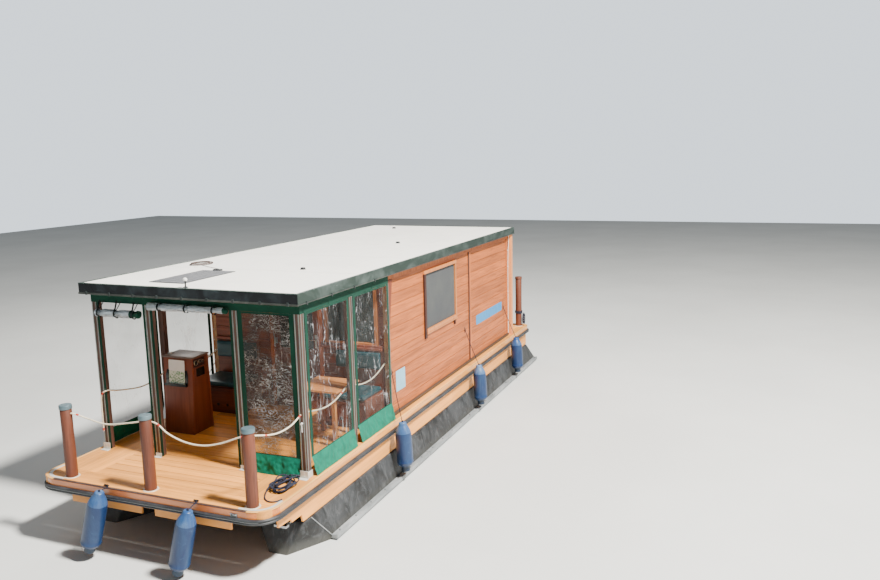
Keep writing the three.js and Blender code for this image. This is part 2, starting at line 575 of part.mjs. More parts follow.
// Barrier ropes, each one length made fast along its way
const ropeAt = 770;
const besidePost = post.x - post.half - ropeRadius - GAP;
const sideRope = [
  [besidePost, 150, rise(ropeAt - 42)], [besidePost, 330, rise(ropeAt - 80)], [besidePost, 560, rise(ropeAt - 112)],
  [besidePost, 780, rise(ropeAt - 100)], [besidePost, 960, rise(ropeAt - 52)], [besidePost, post.side, rise(ropeAt)],
  [besidePost, 1290, rise(ropeAt - 36)], [besidePost, 1440, rise(ropeAt - 76)], [besidePost, 1610, rise(ropeAt - 97)],
  [besidePost, 1800, rise(ropeAt - 92)], [besidePost, 1990, rise(ropeAt - 50)], [besidePost, cabin.front - 4, rise(ropeAt + 20)],
];
// Round the starboard corner post, where the rope's end hangs
const hangingEnd = [
  [-1500, -50.4, rise(240)], [-1500, -51, rise(400)], [-1496, -54, rise(570)], [-1478, -60, rise(695)],
  [-1441, -66, rise(756)], [-1407, -45, rise(777)], [-1400, 0, rise(774)], [-1409, 80, rise(750)],
];
const bowRope = [
  [-1124.9, -861.7, rise(ropeAt)], [-1103, -858.2, rise(ropeAt)], [-1040, -832, rise(748)], [-925, -804, rise(706)],
  [-670, -794, rise(666)], [-360, -794, rise(712)], [-140, -794, rise(757)], [-20, -794, rise(768)],
  [85, -794, rise(742)], [220, -794, rise(650)], [445, -794, rise(580)], [680, -794, rise(570)],
  [910, -794, rise(620)], [1150, -794, rise(712)], [1256, -792, rise(742)], [1313, -772, rise(747)],
  [1346, -708, rise(731)], [1378, -560, rise(689)], [1402, -400, rise(664)], [1430, -215, rise(682)],
  [1453, -95, rise(735)], [1466, -56, rise(765)],
];
const ropeTube = (points, steps) => tube(points, ropeRadius, steps);
add('barrier_rope_port', ropeTube([[besidePost, -20, rise(ropeAt)], ...sideRope], 56), ropeCream);
add('barrier_rope_starboard', ropeTube([...hangingEnd, ...sideRope.map(([x, y, z]) => [-x, y, z])], 74), ropeCream);
add('barrier_rope_bow', ropeTube(bowRope, 72), ropeCream);

// Mooring rope coiled on the bow deck, cable coil on the roof, cable down the cabin's aft corner
function coil(inner, outer, height, x, y, z) {
  const half = height / 2;
  const bevel = Math.min(12, half / 2);
  const ring = [
    [inner, bevel], [inner + bevel, 0], [outer - bevel, 0], [outer, bevel], [outer, height - bevel],
    [outer - bevel, height], [inner + bevel, height], [inner, height - bevel], [inner, bevel],
  ];
  return turned(ring, 24).translate(x, y, z);
}
add('mooring_rope', coil(40, 186, 78, 1382, -362, DECK + GAP), ropeNavy);
add('roof_cable', coil(70, 130, 34, -1175, 1665, roofTop + GAP), cableWhite);
add('shore_cable', tube([
  [1500, 7652, ROOF - GAP], [1500, 7652, rise(1900)], [1490, 7640, rise(1500)], [1488, 7636, rise(900)],
  [1488, 7636, rise(500)], [1488, 7636, rise(120)], [1488, 7636, rise(GAP)],
], 6, 40), cableWhite);

boat.position.set(0, -MIDSHIP, 0);

export default boat;
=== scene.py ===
"""Dresses a packed cabin houseboat on two pontoons: boards, canvas, clear curtains, ropes, fenders and paint.

Sizes are in metres. Lengths along the boat count aft from the terrace's front posts, heights from the deck,
and port is +X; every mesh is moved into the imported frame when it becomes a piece.
"""

import math
import random

import bmesh
import bpy
from bpy.props import FloatProperty, FloatVectorProperty, IntProperty, PointerProperty
from mathutils import Matrix, Vector, noise


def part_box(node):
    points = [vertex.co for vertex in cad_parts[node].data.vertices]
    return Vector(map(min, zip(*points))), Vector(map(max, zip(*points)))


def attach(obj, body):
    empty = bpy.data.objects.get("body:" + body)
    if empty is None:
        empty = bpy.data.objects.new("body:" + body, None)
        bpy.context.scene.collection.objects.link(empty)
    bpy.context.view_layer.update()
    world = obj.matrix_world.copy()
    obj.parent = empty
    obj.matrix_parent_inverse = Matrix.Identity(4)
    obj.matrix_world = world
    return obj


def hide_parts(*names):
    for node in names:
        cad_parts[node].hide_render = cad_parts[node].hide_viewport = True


bl_info = {
    "name": "Twin-pontoon houseboat",
    "version": (1, 0, 0),
    "blender": (4, 5, 0),
    "location": "View3D > Sidebar > Houseboat",
    "description": "Builds the visible pieces of a cabin houseboat around its packed model",
    "category": "Object",
}

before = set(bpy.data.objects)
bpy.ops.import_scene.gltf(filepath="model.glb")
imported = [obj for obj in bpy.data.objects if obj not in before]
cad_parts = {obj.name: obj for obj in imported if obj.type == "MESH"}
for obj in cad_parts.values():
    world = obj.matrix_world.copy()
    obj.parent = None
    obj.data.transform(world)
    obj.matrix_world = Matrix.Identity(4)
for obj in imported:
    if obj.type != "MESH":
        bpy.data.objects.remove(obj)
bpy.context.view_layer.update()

# Places that come from the frame
DECK_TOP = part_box("deck")[1].z
POSTS = sum(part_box("front_frame"), Vector()).y / 2
ORIGIN = Vector((0.0, POSTS, DECK_TOP))
HULL = "hull"

# Sizes shared by several pieces
HEADROOM = 2.05
DECK_HALF = 1.58
DECK_BOW = -0.98
DECK_STERN = 8.68
BORDER = 0.28
CABIN_HALF = 1.475
CABIN_FRONT = 2.19
CABIN_AFT = 7.62
POST = 0.04
POST_X = 1.47
POST_INNER = 0.635
POST_SIDE = 1.12
BEAM_LOW = HEADROOM - 0.12
ROOF_TOP = HEADROOM + 0.122
WATERLINE = -0.82


def tint(code):
    """A colour as scene-linear red, green and blue, from its screen code."""
    parts = [int(code[i:i + 2], 16) / 255 for i in (1, 3, 5)]
    return tuple(c / 12.92 if c <= 0.04045 else ((c + 0.055) / 1.055) ** 2.4 for c in parts)


def colour_prop(name, description, code):
    return FloatVectorProperty(
        name=name, description=description, subtype="COLOR", size=3, min=0.0, max=1.0, default=tint(code))


def length_prop(name, description, default, low=0.0, high=20.0):
    return FloatProperty(
        name=name, description=description, default=default, min=low, max=high, unit="LENGTH",
        subtype="DISTANCE")


class TimberSettings(bpy.types.PropertyGroup):
    """Boards of the deck, the cabin and the fascia"""

    deck_pitch: length_prop("Deck board pitch", "From one deck board to the next", 0.15)
    deck_gap: length_prop("Deck board gap", "Open joint between deck boards", 0.008)
    plank_thick: length_prop("Cladding thickness", "How far the planks stand off the wall", 0.012)
    deck_colour: colour_prop("Deck", "Oiled deck boards", "#f0a148")
    cladding_colour: colour_prop("Cladding", "Stained cladding", "#c2692f")
    fascia_colour: colour_prop("Fascia", "Pale boards under the deck's edge", "#ffaa50")
    edge_colour: colour_prop("Edge board", "Varnished edge board", "#de7f3c")
    joinery_colour: colour_prop("Joinery", "Helm, benches and inner walls", "#80432a")
    post_colour: colour_prop("Posts", "Dark stained posts", "#5b4036")
    bollard_colour: colour_prop("Bollards", "Stained round wood", "#6c3a27")


class ClothSettings(bpy.types.PropertyGroup):
    """Canvas, clear curtains and pads"""

    canvas_colour: colour_prop("Canvas", "Green awning cloth", "#023527")
    flap_colour: colour_prop("Curtain flaps", "Brighter cloth of the flaps at the curtains' feet", "#026a54")
    pad_colour: colour_prop("Pads", "Teal covers", "#1a4148")
    step: length_prop("Mesh step", "Distance between a curtain's vertices", 0.011)


class RopeSettings(bpy.types.PropertyGroup):
    """Ropes, lanyards and cables"""

    barrier_diameter: length_prop("Barrier rope", "Diameter of the cream ropes", 0.02)
    strands: IntProperty(name="Strands", description="Strands laid into a rope", default=3, min=2, max=6)
    lay: length_prop("Lay", "Length of one full turn of the strands", 0.09)
    cream: colour_prop("Cream", "Barrier ropes", "#e8dcc2")
    navy: colour_prop("Navy", "Mooring rope and lanyards", "#12152a")
    whipping: colour_prop("Whipping", "Bindings on the barrier ropes", "#c8402c")


class HullSettings(bpy.types.PropertyGroup):
    """Pontoons, rubber and fenders"""

    hull_colour: colour_prop("Pontoons", "Moulded floats", "#0f1113")
    flange_colour: colour_prop("Flange", "Worn flange of the floats", "#777c7e")
    rubber_colour: colour_prop("Rubber", "Strake all round", "#24262a")
    fender_colour: colour_prop("Fenders", "Inflated fenders", "#02214e")
    fender_end: colour_prop("Fender ends", "Darker ends of the fenders", "#081c33")
    metal_colour: colour_prop("Roof edge", "Folded metal edge of the roof", "#263630")
    roof_colour: colour_prop("Roof", "Membrane on the roof", "#fbf9f2")


class StageSettings(bpy.types.PropertyGroup):
    """Camera, floor and light"""

    floor_colour: colour_prop("Floor", "Plain floor at the waterline", "#dcdedb")
    key_strength: FloatProperty(name="Key light", description="Strength of the high key light", default=10.5,
                                min=0.0)
    fill_strength: FloatProperty(name="Fill light", description="Strength of the even fill", default=0.24,
                                 min=0.0)
    lens: FloatProperty(name="Lens", description="Focal length on a 36 mm sensor", default=32.52,
                        unit="CAMERA")


SETTINGS = {
    "timber": TimberSettings,
    "cloth": ClothSettings,
    "ropes": RopeSettings,
    "hull": HullSettings,
    "stage": StageSettings,
}


def settings(group):
    return getattr(bpy.context.scene, f"houseboat_{group}")


# Material building


class Shader:
    """A Principled material whose sockets take numbers, colours or other nodes' outputs.

    The materials' names end in "look", so that none takes the place of a carried-over one.
    """

    def __init__(self, name):
        self.material = bpy.data.materials.new(f"{name} look")
        self.material.use_nodes = True
        self.tree = self.material.node_tree
        self.surface = self.tree.nodes["Principled BSDF"]

    def put(self, socket, value):
        if isinstance(value, bpy.types.NodeSocket):
            self.tree.links.new(value, socket)
        elif hasattr(value, "__len__") and len(value) == 3 and socket.type == "RGBA":
            socket.default_value = (*value, 1.0)
        else:
            socket.default_value = value

    def node(self, kind, inputs=(), **values):
        made = self.tree.nodes.new(kind)
        for key, value in values.items():
            setattr(made, key, value)
        for key, value in dict(inputs).items():
            self.put(made.inputs[key], value)
        return made

    def place(self, stretch=(1, 1, 1), shift=(0, 0, 0)):
        """Object coordinates, stretched along the grain."""
        coordinates = self.node("ShaderNodeTexCoord")
        mapping = self.node("ShaderNodeMapping", {
            "Vector": coordinates.outputs["Object"], "Scale": stretch, "Location": shift})
        return mapping.outputs["Vector"]

    def noise(self, scale, stretch=(1, 1, 1), detail=4.0, rough=0.6, distort=0.0, shift=(0, 0, 0)):
        texture = self.node("ShaderNodeTexNoise", {
            "Vector": self.place(stretch, shift), "Scale": scale, "Detail": detail,
            "Roughness": rough, "Distortion": distort})
        return texture.outputs["Fac"]

    def cells(self, scale, stretch=(1, 1, 1), feature="F1", output="Distance"):
        texture = self.node("ShaderNodeTexVoronoi", {"Vector": self.place(stretch), "Scale": scale},
                            feature=feature)
        return texture.outputs[output]

    def attribute(self, name):
        return self.node("ShaderNodeAttribute", attribute_name=name).outputs["Fac"]

    def ramp(self, factor, stops):
        """stops are (place, colour) from low to high."""
        made = self.node("ShaderNodeValToRGB", {"Fac": factor})
        elements = made.color_ramp.elements
        while len(elements) < len(stops):
            elements.new(0.5)
        for element, (place, colour) in zip(elements, stops):
            element.position = place
            element.color = (*colour, 1.0) if len(colour) == 3 else colour
        return made.outputs["Color"]

    def grade(self, factor, low, high, start=0.0, end=1.0):
        """A number between start and end as factor goes from low to high."""
        made = self.node("ShaderNodeMapRange", {
            "Value": factor, "From Min": low, "From Max": high, "To Min": start, "To Max": end})
        return made.outputs["Result"]

    def mix(self, factor, first, second, blend="MIX"):
        made = self.node("ShaderNodeMix", data_type="RGBA", blend_type=blend)
        self.put(made.inputs["Factor"], factor)
        self.put(made.inputs["A"], first)
        self.put(made.inputs["B"], second)
        return made.outputs["Result"]

    def sum(self, first, second, operation="ADD"):
        made = self.node("ShaderNodeMath", operation=operation)
        self.put(made.inputs[0], first)
        self.put(made.inputs[1], second)
        return made.outputs["Value"]

    def bump(self, height, strength=0.3, distance=0.002):
        made = self.node("ShaderNodeBump", {"Height": height, "Strength": strength, "Distance": distance})
        return made.outputs["Normal"]

    def finish(self, **sockets):
        for key, value in sockets.items():
            self.put(self.surface.inputs[key.replace("_", " ")], value)
        return self.material


def made_once(build):
    """Keeps a material function from making the same material twice."""

    def wrapped(name, *args, **kwargs):
        return bpy.data.materials.get(f"{name} look") or build(name, *args, **kwargs)

    return wrapped


def shade(colour, factor):
    return tuple(min(1.0, c * factor) for c in colour)


GRAIN = {"X": (0.06, 1.0, 1.0), "Y": (1.0, 0.06, 1.0), "Z": (1.0, 1.0, 0.06)}


@made_once
def wood(name, colour, along="Y", contrast=0.45, rough=(0.42, 0.7), coat=0.0, grime=0.25, scale=34.0,
         tones=0.22):
    """Boards with grain along one axis, a tone for each board, knots and grime."""
    s = Shader(name)
    grain = s.noise(scale, GRAIN[along], detail=8.0, rough=0.65, distort=0.6)
    rings = s.noise(scale * 0.22, GRAIN[along], detail=3.0, distort=1.2, shift=(3.1, 1.7, 0.4))
    dark, light = shade(colour, 1.0 - contrast), shade(colour, 1.0 + contrast * 0.45)
    body = s.ramp(grain, [(0.28, dark), (0.5, colour), (0.75, light)])
    body = s.mix(s.grade(rings, 0.42, 0.62, 0.0, 0.55), body, shade(colour, 0.62), "MIX")
    tone = s.grade(s.attribute("tone"), -1.0, 1.0, 1 - tones, 1 + tones)
    grey = s.node("ShaderNodeCombineColor", {"Red": tone, "Green": tone, "Blue": tone})
    body = s.mix(1.0, body, grey.outputs["Color"], "MULTIPLY")
    knot = s.cells(5.5, [v * 1.6 if v < 1 else v for v in GRAIN[along]])
    body = s.mix(s.grade(knot, 0.02, 0.07, 0.75, 0.0), body, shade(colour, 0.3))
    dirt = s.noise(1.7, detail=6.0, shift=(0.3, 4.0, 2.0))
    body = s.mix(s.grade(dirt, 0.45, 0.75, 0.0, grime), body, shade(colour, 0.45))
    return s.finish(
        Base_Color=body, Roughness=s.grade(grain, 0.3, 0.7, rough[1], rough[0]), Coat_Weight=coat,
        Coat_Roughness=0.2, Normal=s.bump(grain, 0.35, 0.0015))


@made_once
def moulded(name, colour, worn, wear=0.35, rough=(0.35, 0.65), grain=0.25, streak=(1, 1, 0.25)):
    """Plastic or rubber with scuffs, streaks and a fine grain."""
    s = Shader(name)
    streaks = s.noise(4.0, streak, detail=9.0, rough=0.7, distort=0.4)
    scratch = s.noise(26.0, (1, 0.12, 1), detail=6.0, rough=0.75, distort=1.0, shift=(1.0, 2.0, 3.0))
    fine = s.noise(220.0, detail=2.0)
    body = s.mix(s.grade(streaks, 0.38, 0.7, 0.0, wear), colour, worn)
    body = s.mix(s.grade(scratch, 0.6, 0.78, 0.0, wear * 1.3), body, shade(worn, 1.35))
    return s.finish(
        Base_Color=body, Roughness=s.grade(streaks, 0.3, 0.75, rough[0], rough[1]),
        Normal=s.bump(s.sum(fine, s.sum(scratch, 0.5, "MULTIPLY")), grain, 0.0008))


@made_once
def painted_metal(name, colour, scuffed, wear=0.4, rough=(0.3, 0.55), metallic=0.25):
    """Folded sheet with scuffs and dull patches."""
    s = Shader(name)
    patches = s.noise(2.6, (1, 0.5, 1), detail=7.0, rough=0.62, distort=1.4)
    marks = s.noise(9.0, (0.5, 0.5, 2.0), detail=8.0, rough=0.7, shift=(5.0, 1.0, 2.0))
    body = s.mix(s.grade(patches, 0.45, 0.68, 0.0, wear), colour, scuffed)
    body = s.mix(s.grade(marks, 0.62, 0.72, 0.0, wear), body, shade(scuffed, 1.5))
    return s.finish(
        Base_Color=body, Metallic=metallic, Roughness=s.grade(patches, 0.3, 0.7, rough[0], rough[1]),
        Normal=s.bump(s.noise(3.0, detail=3.0), 0.25, 0.004))


@made_once
def bare_metal(name, colour, rough=(0.25, 0.5), dull=0.4):
    """Aluminium or galvanised steel with spangle and dull patches."""
    s = Shader(name)
    spangle = s.cells(38.0, output="Color")
    patches = s.noise(6.0, detail=6.0)
    body = s.mix(s.grade(patches, 0.4, 0.7, 0.0, dull), colour, shade(colour, 0.6))
    body = s.mix(0.08, body, spangle, "OVERLAY")
    return s.finish(
        Base_Color=body, Metallic=0.9, Roughness=s.grade(patches, 0.3, 0.7, rough[0], rough[1]),
        Normal=s.bump(s.noise(160.0, detail=2.0), 0.12, 0.0005))


@made_once
def cloth(name, colour, weave=900.0, painted_crease_light=0.3, rough=0.85, sheen=0.05):
    """Woven canvas: threads both ways, faded patches and soft creases, darkened in the folds as painted
    shade.
    """
    s = Shader(name)
    warp = s.node("ShaderNodeTexWave", {"Vector": s.place((1, 1, 0)), "Scale": weave / 20, "Distortion": 0.4},
                  bands_direction="Y").outputs["Fac"]
    weft = s.node("ShaderNodeTexWave", {"Vector": s.place((0, 0, 1)), "Scale": weave / 20, "Distortion": 0.4},
                  bands_direction="Z").outputs["Fac"]
    threads = s.sum(warp, weft)
    faded = s.noise(5.0, detail=6.0, distort=0.8)
    folds = s.noise(9.0, (1, 1, 0.5), detail=5.0, distort=1.5)
    body = s.mix(s.grade(faded, 0.4, 0.7, 0.0, 0.5), colour, shade(colour, 1.5))
    # darker where the fold noise is high: painted shade in the creases
    body = s.mix(s.grade(folds, 0.5, 0.7, 0.0, painted_crease_light), body, shade(colour, 0.5))
    return s.finish(
        Base_Color=body, Roughness=rough, Sheen_Weight=sheen, Specular_IOR_Level=0.2,
        Normal=s.bump(s.sum(s.sum(threads, 0.15, "MULTIPLY"), folds), 0.4, 0.004))


@made_once
def leatherette(name, colour, rough=(0.3, 0.5)):
    """Grained cover of the pads, lighter where it is rubbed."""
    s = Shader(name)
    pebbles = s.cells(260.0)
    worn = s.noise(6.0, detail=5.0)
    body = s.mix(s.grade(worn, 0.45, 0.7, 0.0, 0.4), colour, shade(colour, 1.8))
    return s.finish(
        Base_Color=body, Roughness=s.grade(worn, 0.3, 0.7, rough[0], rough[1]),
        Normal=s.bump(pebbles, 0.25, 0.0006))


@made_once
def glazing(name, colour=(0.55, 0.6, 0.6), alpha=0.25):
    """Window pane with a little dust."""
    s = Shader(name)
    dust = s.noise(22.0, detail=8.0)
    return s.finish(
        Base_Color=colour, Alpha=s.grade(dust, 0.4, 0.8, alpha, alpha + 0.2), Roughness=0.04,
        Normal=s.bump(s.noise(1.5), 0.05, 0.003))


@made_once
def rope_fibre(name, colour, fleck, amount=0.35):
    """Rope yarn: fine fibres, soiled patches and flecks of a second colour."""
    s = Shader(name)
    fibre = s.noise(420.0, detail=4.0)
    soil = s.noise(30.0, detail=5.0)
    flecks = s.noise(150.0, detail=1.0, shift=(4.0, 4.0, 4.0))
    body = s.mix(s.grade(soil, 0.45, 0.75, 0.0, 0.5), colour, shade(colour, 0.55))
    body = s.mix(s.grade(flecks, 0.58, 0.66, 0.0, amount), body, fleck)
    return s.finish(Base_Color=body, Roughness=0.85, Normal=s.bump(fibre, 0.5, 0.001))


@made_once
def plain_paint(name, colour, rough=(0.25, 0.45), grime=0.25):
    """Smooth paint or gloss plastic with a little grime."""
    s = Shader(name)
    dirt = s.noise(7.0, detail=7.0, rough=0.65)
    body = s.mix(s.grade(dirt, 0.45, 0.75, 0.0, grime), colour, shade(colour, 0.6))
    return s.finish(
        Base_Color=body, Roughness=s.grade(dirt, 0.3, 0.7, rough[0], rough[1]),
        Normal=s.bump(s.noise(90.0, detail=3.0), 0.06, 0.0006))


@made_once
def membrane(name, colour):
    """Pale roofing sheet with dried puddles and dust."""
    s = Shader(name)
    puddles = s.noise(0.9, (1, 0.7, 1), detail=8.0, rough=0.6, distort=0.6)
    specks = s.noise(60.0, detail=5.0, rough=0.7)
    body = s.mix(s.grade(puddles, 0.5, 0.56, 0.0, 0.16), colour, shade(colour, 0.72))
    body = s.mix(s.grade(specks, 0.62, 0.75, 0.0, 0.3), body, shade(colour, 0.55))
    return s.finish(Base_Color=body, Roughness=0.75, Normal=s.bump(specks, 0.2, 0.001))


def black_plastic():
    return moulded("black plastic", tint("#16181a"), tint("#3a3d40"))


def white_plastic():
    return plain_paint("white plastic", tint("#e4e4de"), grime=0.4)


# Mesh building

# Turns that point a turned piece's axis away from upwards
TO_PORT = Matrix.Rotation(math.radians(90), 3, "Y")
TO_BOW = Matrix.Rotation(math.radians(90), 3, "X")
TO_STERN = Matrix.Rotation(math.radians(-90), 3, "X")

# A small screw head, as (radius, height) pairs
SCREW = [(0, 0), (0.005, 0), (0.003, 0.002), (0, 0.002)]


def any_tone():
    """A random tone for one board, from dark -1 to light 1."""
    return random.uniform(-1, 1)


def flank(side, near, far):
    """The reach across the boat from near to far off its middle, on the side of port 1 or starboard -1."""
    return sorted((side * near, side * far))


def turns(count):
    """Evenly spaced angles round a circle."""
    return [math.tau * i / count for i in range(count)]


def add_box(bm, x, y, z, tone=0.0, index=0):
    """A box between two corners, given as a pair along each axis."""
    size = Vector((x[1] - x[0], y[1] - y[0], z[1] - z[0]))
    middle = Vector((sum(x), sum(y), sum(z))) / 2
    made = bmesh.ops.create_cube(bm, size=1.0,
                                 matrix=Matrix.Translation(middle) @ Matrix.Diagonal((*size, 1.0)))
    layer = bm.faces.layers.float.get("tone") or bm.faces.layers.float.new("tone")
    for face in {f for v in made["verts"] for f in v.link_faces}:
        face[layer] = tone
        face.material_index = index
    return made["verts"]


def bevel_edges(bm, edges, width, segments=1):
    bmesh.ops.bevel(bm, geom=edges, offset=width, offset_type="OFFSET", segments=segments, profile=0.5,
                    affect="EDGES", material=-1)


def bevel_all(bm, width, segments=1):
    bevel_edges(bm, bm.edges[:], width, segments)


def add_turned(bm, profile, place=(0, 0, 0), turn=None, steps=24, index=0):
    """A closed turned piece from (radius, height) pairs that start and end on the axis."""
    path = [bm.verts.new((r, 0.0, h)) for r, h in profile]
    edges = [bm.edges.new(pair) for pair in zip(path, path[1:])]
    made = bmesh.ops.spin(bm, geom=path + edges, cent=(0, 0, 0), axis=(0, 0, 1), dvec=(0, 0, 0),
                          angle=math.tau, steps=steps, use_merge=True)
    found = set(path) | {v for v in made["geom_last"] if isinstance(v, bmesh.types.BMVert)}
    loose, seen = list(found), set(found)
    while loose:
        vert = loose.pop()
        for edge in vert.link_edges:
            other = edge.other_vert(vert)
            if other not in seen:
                seen.add(other)
                loose.append(other)
    bmesh.ops.remove_doubles(bm, verts=list(seen), dist=1e-5)
    alive = [v for v in seen if v.is_valid]
    faces = list({f for v in alive for f in v.link_faces})
    bmesh.ops.recalc_face_normals(bm, faces=faces)
    for face in faces:
        face.material_index = index
    matrix = Matrix.Translation(place) @ (turn.to_4x4() if turn else Matrix.Identity(4))
    bmesh.ops.transform(bm, matrix=matrix, verts=alive)
    return alive


def add_rod(bm, start, end, radius, steps=12, index=0, end_radius=None):
    start, end = Vector(start), Vector(end)
    way = end - start
    turn = Vector((0, 0, 1)).rotation_difference(way).to_matrix()
    profile = [(0, 0), (radius, 0), (end_radius or radius, way.length), (0, way.length)]
    return add_turned(bm, profile, start, turn, steps, index)


def new_curve(points, closed, **values):
    """Curve data with one line through the points."""
    curve = bpy.data.curves.new("run", "CURVE")
    curve.dimensions = "3D"
    for key, value in values.items():
        setattr(curve, key, value)
    spline = curve.splines.new("POLY")
    spline.points.add(len(points) - 1)
    for point, place in zip(spline.points, points):
        point.co = (*place, 1.0)
    spline.use_cyclic_u = closed
    return curve


def add_bead(bm, points, radius, closed=False, sides=3, index=0):
    """A round bead along a line of points, swept by a curve."""
    curve = new_curve(points, closed, bevel_depth=radius, bevel_resolution=sides, use_fill_caps=not closed)
    add_curve_mesh(bm, curve, index)


def add_curve_mesh(bm, curve, index=0):
    """Turns a curve into faces of bm, and drops the curve."""
    holder = bpy.data.objects.new("holder", curve)
    bpy.context.collection.objects.link(holder)
    mesh = bpy.data.meshes.new_from_object(holder.evaluated_get(bpy.context.evaluated_depsgraph_get()))
    start = len(bm.faces)
    bm.from_mesh(mesh)
    bm.faces.ensure_lookup_table()
    fresh = bm.faces[start:]
    verts = list({v for f in fresh for v in f.verts})
    bmesh.ops.remove_doubles(bm, verts=verts, dist=1e-6)
    for face in fresh:
        if face.is_valid:
            face.material_index = index
    bpy.data.objects.remove(holder)
    bpy.data.curves.remove(curve)
    bpy.data.meshes.remove(mesh)


def placed(name, bm):
    """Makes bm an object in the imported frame."""
    bmesh.ops.translate(bm, verts=bm.verts[:], vec=ORIGIN)
    mesh = bpy.data.meshes.new(name)
    bm.to_mesh(mesh)
    bm.free()
    made = bpy.data.objects.new(name, mesh)
    bpy.context.collection.objects.link(made)
    return made


def piece(name, bm, materials, replaces=(), body=HULL, smooth=None):
    """Makes bm a finished object that rides on a body."""
    made = placed(name, bm)
    for material in materials:
        made.data.materials.append(material)
    if smooth is not None:
        made.data.shade_smooth()
        made.data.set_sharp_from_angle(angle=math.radians(smooth))
    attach(made, body)
    if replaces:
        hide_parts(*replaces)
    return made


def dress(material, *nodes):
    """Gives CAD nodes whose shape is right a finished material."""
    for node in nodes:
        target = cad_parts[node]
        target.data.materials.clear()
        target.data.materials.append(material)


def smooth_path(points, step):
    """Evenly spaced points on a Catmull-Rom curve through the given ones."""
    points = [Vector(p) for p in points]
    knots = [2 * points[0] - points[1], *points, 2 * points[-1] - points[-2]]
    dense = []
    for a, b, c, d in zip(knots, knots[1:], knots[2:], knots[3:]):
        for i in range(24):
            t = i / 24
            dense.append(0.5 * (2 * b + (c - a) * t + (2 * a - 5 * b + 4 * c - d) * t * t
                                + (3 * b - a - 3 * c + d) * t ** 3))
    dense.append(points[-1])
    total = sum((q - p).length for p, q in zip(dense, dense[1:]))
    count = max(2, round(total / step))
    even, gone, index = [dense[0]], 0.0, 0
    for k in range(1, count):
        goal = total * k / count
        while index < len(dense) - 2 and gone + (dense[index + 1] - dense[index]).length < goal:
            gone += (dense[index + 1] - dense[index]).length
            index += 1
        part = (goal - gone) / max(1e-9, (dense[index + 1] - dense[index]).length)
        even.append(dense[index].lerp(dense[index + 1], part))
    even.append(dense[-1])
    return even


def relaxed(path, rounds):
    """The same path with its tight kinks eased out; both ends stay where they are."""
    for _ in range(rounds):
        path = [path[0], *((a + 2 * b + c) / 4 for a, b, c in zip(path, path[1:], path[2:])), path[-1]]
    return path


def run_length(path):
    return sum((q - p).length for p, q in zip(path, path[1:]))


def sweep(bm, path, section, closed=False, index=0, level=True, lay=None):
    """Sweeps a closed section of (outward, upward) points along a path; lay is the length of one twist."""
    profile = new_curve([(u, v, 0.0) for u, v in section], True, dimensions="2D")
    holder = bpy.data.objects.new("section", profile)
    bpy.context.collection.objects.link(holder)
    curve = new_curve(path, closed, twist_mode="Z_UP" if level else "MINIMUM", bevel_mode="OBJECT",
                      bevel_object=holder, use_fill_caps=not closed)
    if lay:
        gone = 0.0
        for i, point in enumerate(curve.splines[0].points):
            gone += (path[i] - path[i - 1]).length if i else 0.0
            point.tilt = math.tau * gone / lay
    start = len(bm.faces)
    add_curve_mesh(bm, curve, index)
    bm.faces.ensure_lookup_table()
    bmesh.ops.recalc_face_normals(bm, faces=bm.faces[start:])
    bpy.data.objects.remove(holder)
    bpy.data.curves.remove(profile)


def laid_rope(bm, path, diameter, strands, lay):
    """Strands laid round each other: a lobed section that turns along the path."""
    section = []
    for angle in turns(strands * 5):
        radius = diameter / 2 * (0.86 + 0.14 * abs(math.cos(strands * angle / 2)))
        section.append((radius * math.cos(angle), radius * math.sin(angle)))
    sweep(bm, path, section, level=False, lay=lay)


# Operators


class HOUSEBOAT_OT_camera(bpy.types.Operator):
    """Adds the camera at the photograph's viewpoint"""

    bl_idname = "houseboat.camera"
    bl_label = "Camera"

    def execute(self, context):
        eye = Vector((6.308, -7.458, 3.648))
        yaw, pitch, roll = (math.radians(v) for v in (21.654, 9.449, -1.183))
        shift = (-0.01577, -0.00413)
        ahead = Vector((-math.sin(yaw) * math.cos(pitch), math.cos(yaw) * math.cos(pitch), -math.sin(pitch)))
        level = Vector((math.cos(yaw), math.sin(yaw), 0.0))
        upward = level.cross(ahead)
        right = math.cos(roll) * level + math.sin(roll) * upward
        top = math.cos(roll) * upward - math.sin(roll) * level
        data = bpy.data.cameras.new("camera")
        data.sensor_width = 36.0
        data.lens = settings("stage").lens
        data.shift_x, data.shift_y = shift
        data.clip_end = 200.0
        camera = bpy.data.objects.new("camera", data)
        turn = Matrix((right, top, -ahead)).transposed()
        camera.matrix_world = Matrix.Translation(eye + ORIGIN) @ turn.to_4x4()
        context.collection.objects.link(camera)
        context.scene.camera = camera
        return {"FINISHED"}


BESIDE_POST = POST_X - POST - 0.0103
SIDE_ROUTE = [
    (BESIDE_POST, 0.15, 0.728), (BESIDE_POST, 0.33, 0.69), (BESIDE_POST, 0.56, 0.658),
    (BESIDE_POST, 0.78, 0.67), (BESIDE_POST, 0.96, 0.718), (BESIDE_POST, POST_SIDE, 0.77),
    (BESIDE_POST, 1.29, 0.734), (BESIDE_POST, 1.44, 0.694), (BESIDE_POST, 1.61, 0.673),
    (BESIDE_POST, 1.8, 0.678), (BESIDE_POST, 1.99, 0.72), (BESIDE_POST, 2.186, 0.79),
]
PORT_ROUTE = [(BESIDE_POST, -0.02, 0.77), *SIDE_ROUTE]
STARBOARD_ROUTE = [
    *((-x, y, z) for x, y, z in reversed(SIDE_ROUTE)),
    (-1.409, 0.08, 0.75), (-1.4, 0.0, 0.774), (-1.407, -0.045, 0.777), (-1.441, -0.066, 0.756),
    (-1.478, -0.06, 0.695), (-1.496, -0.054, 0.57), (-1.5, -0.051, 0.4), (-1.5, -0.0504, 0.24),
]
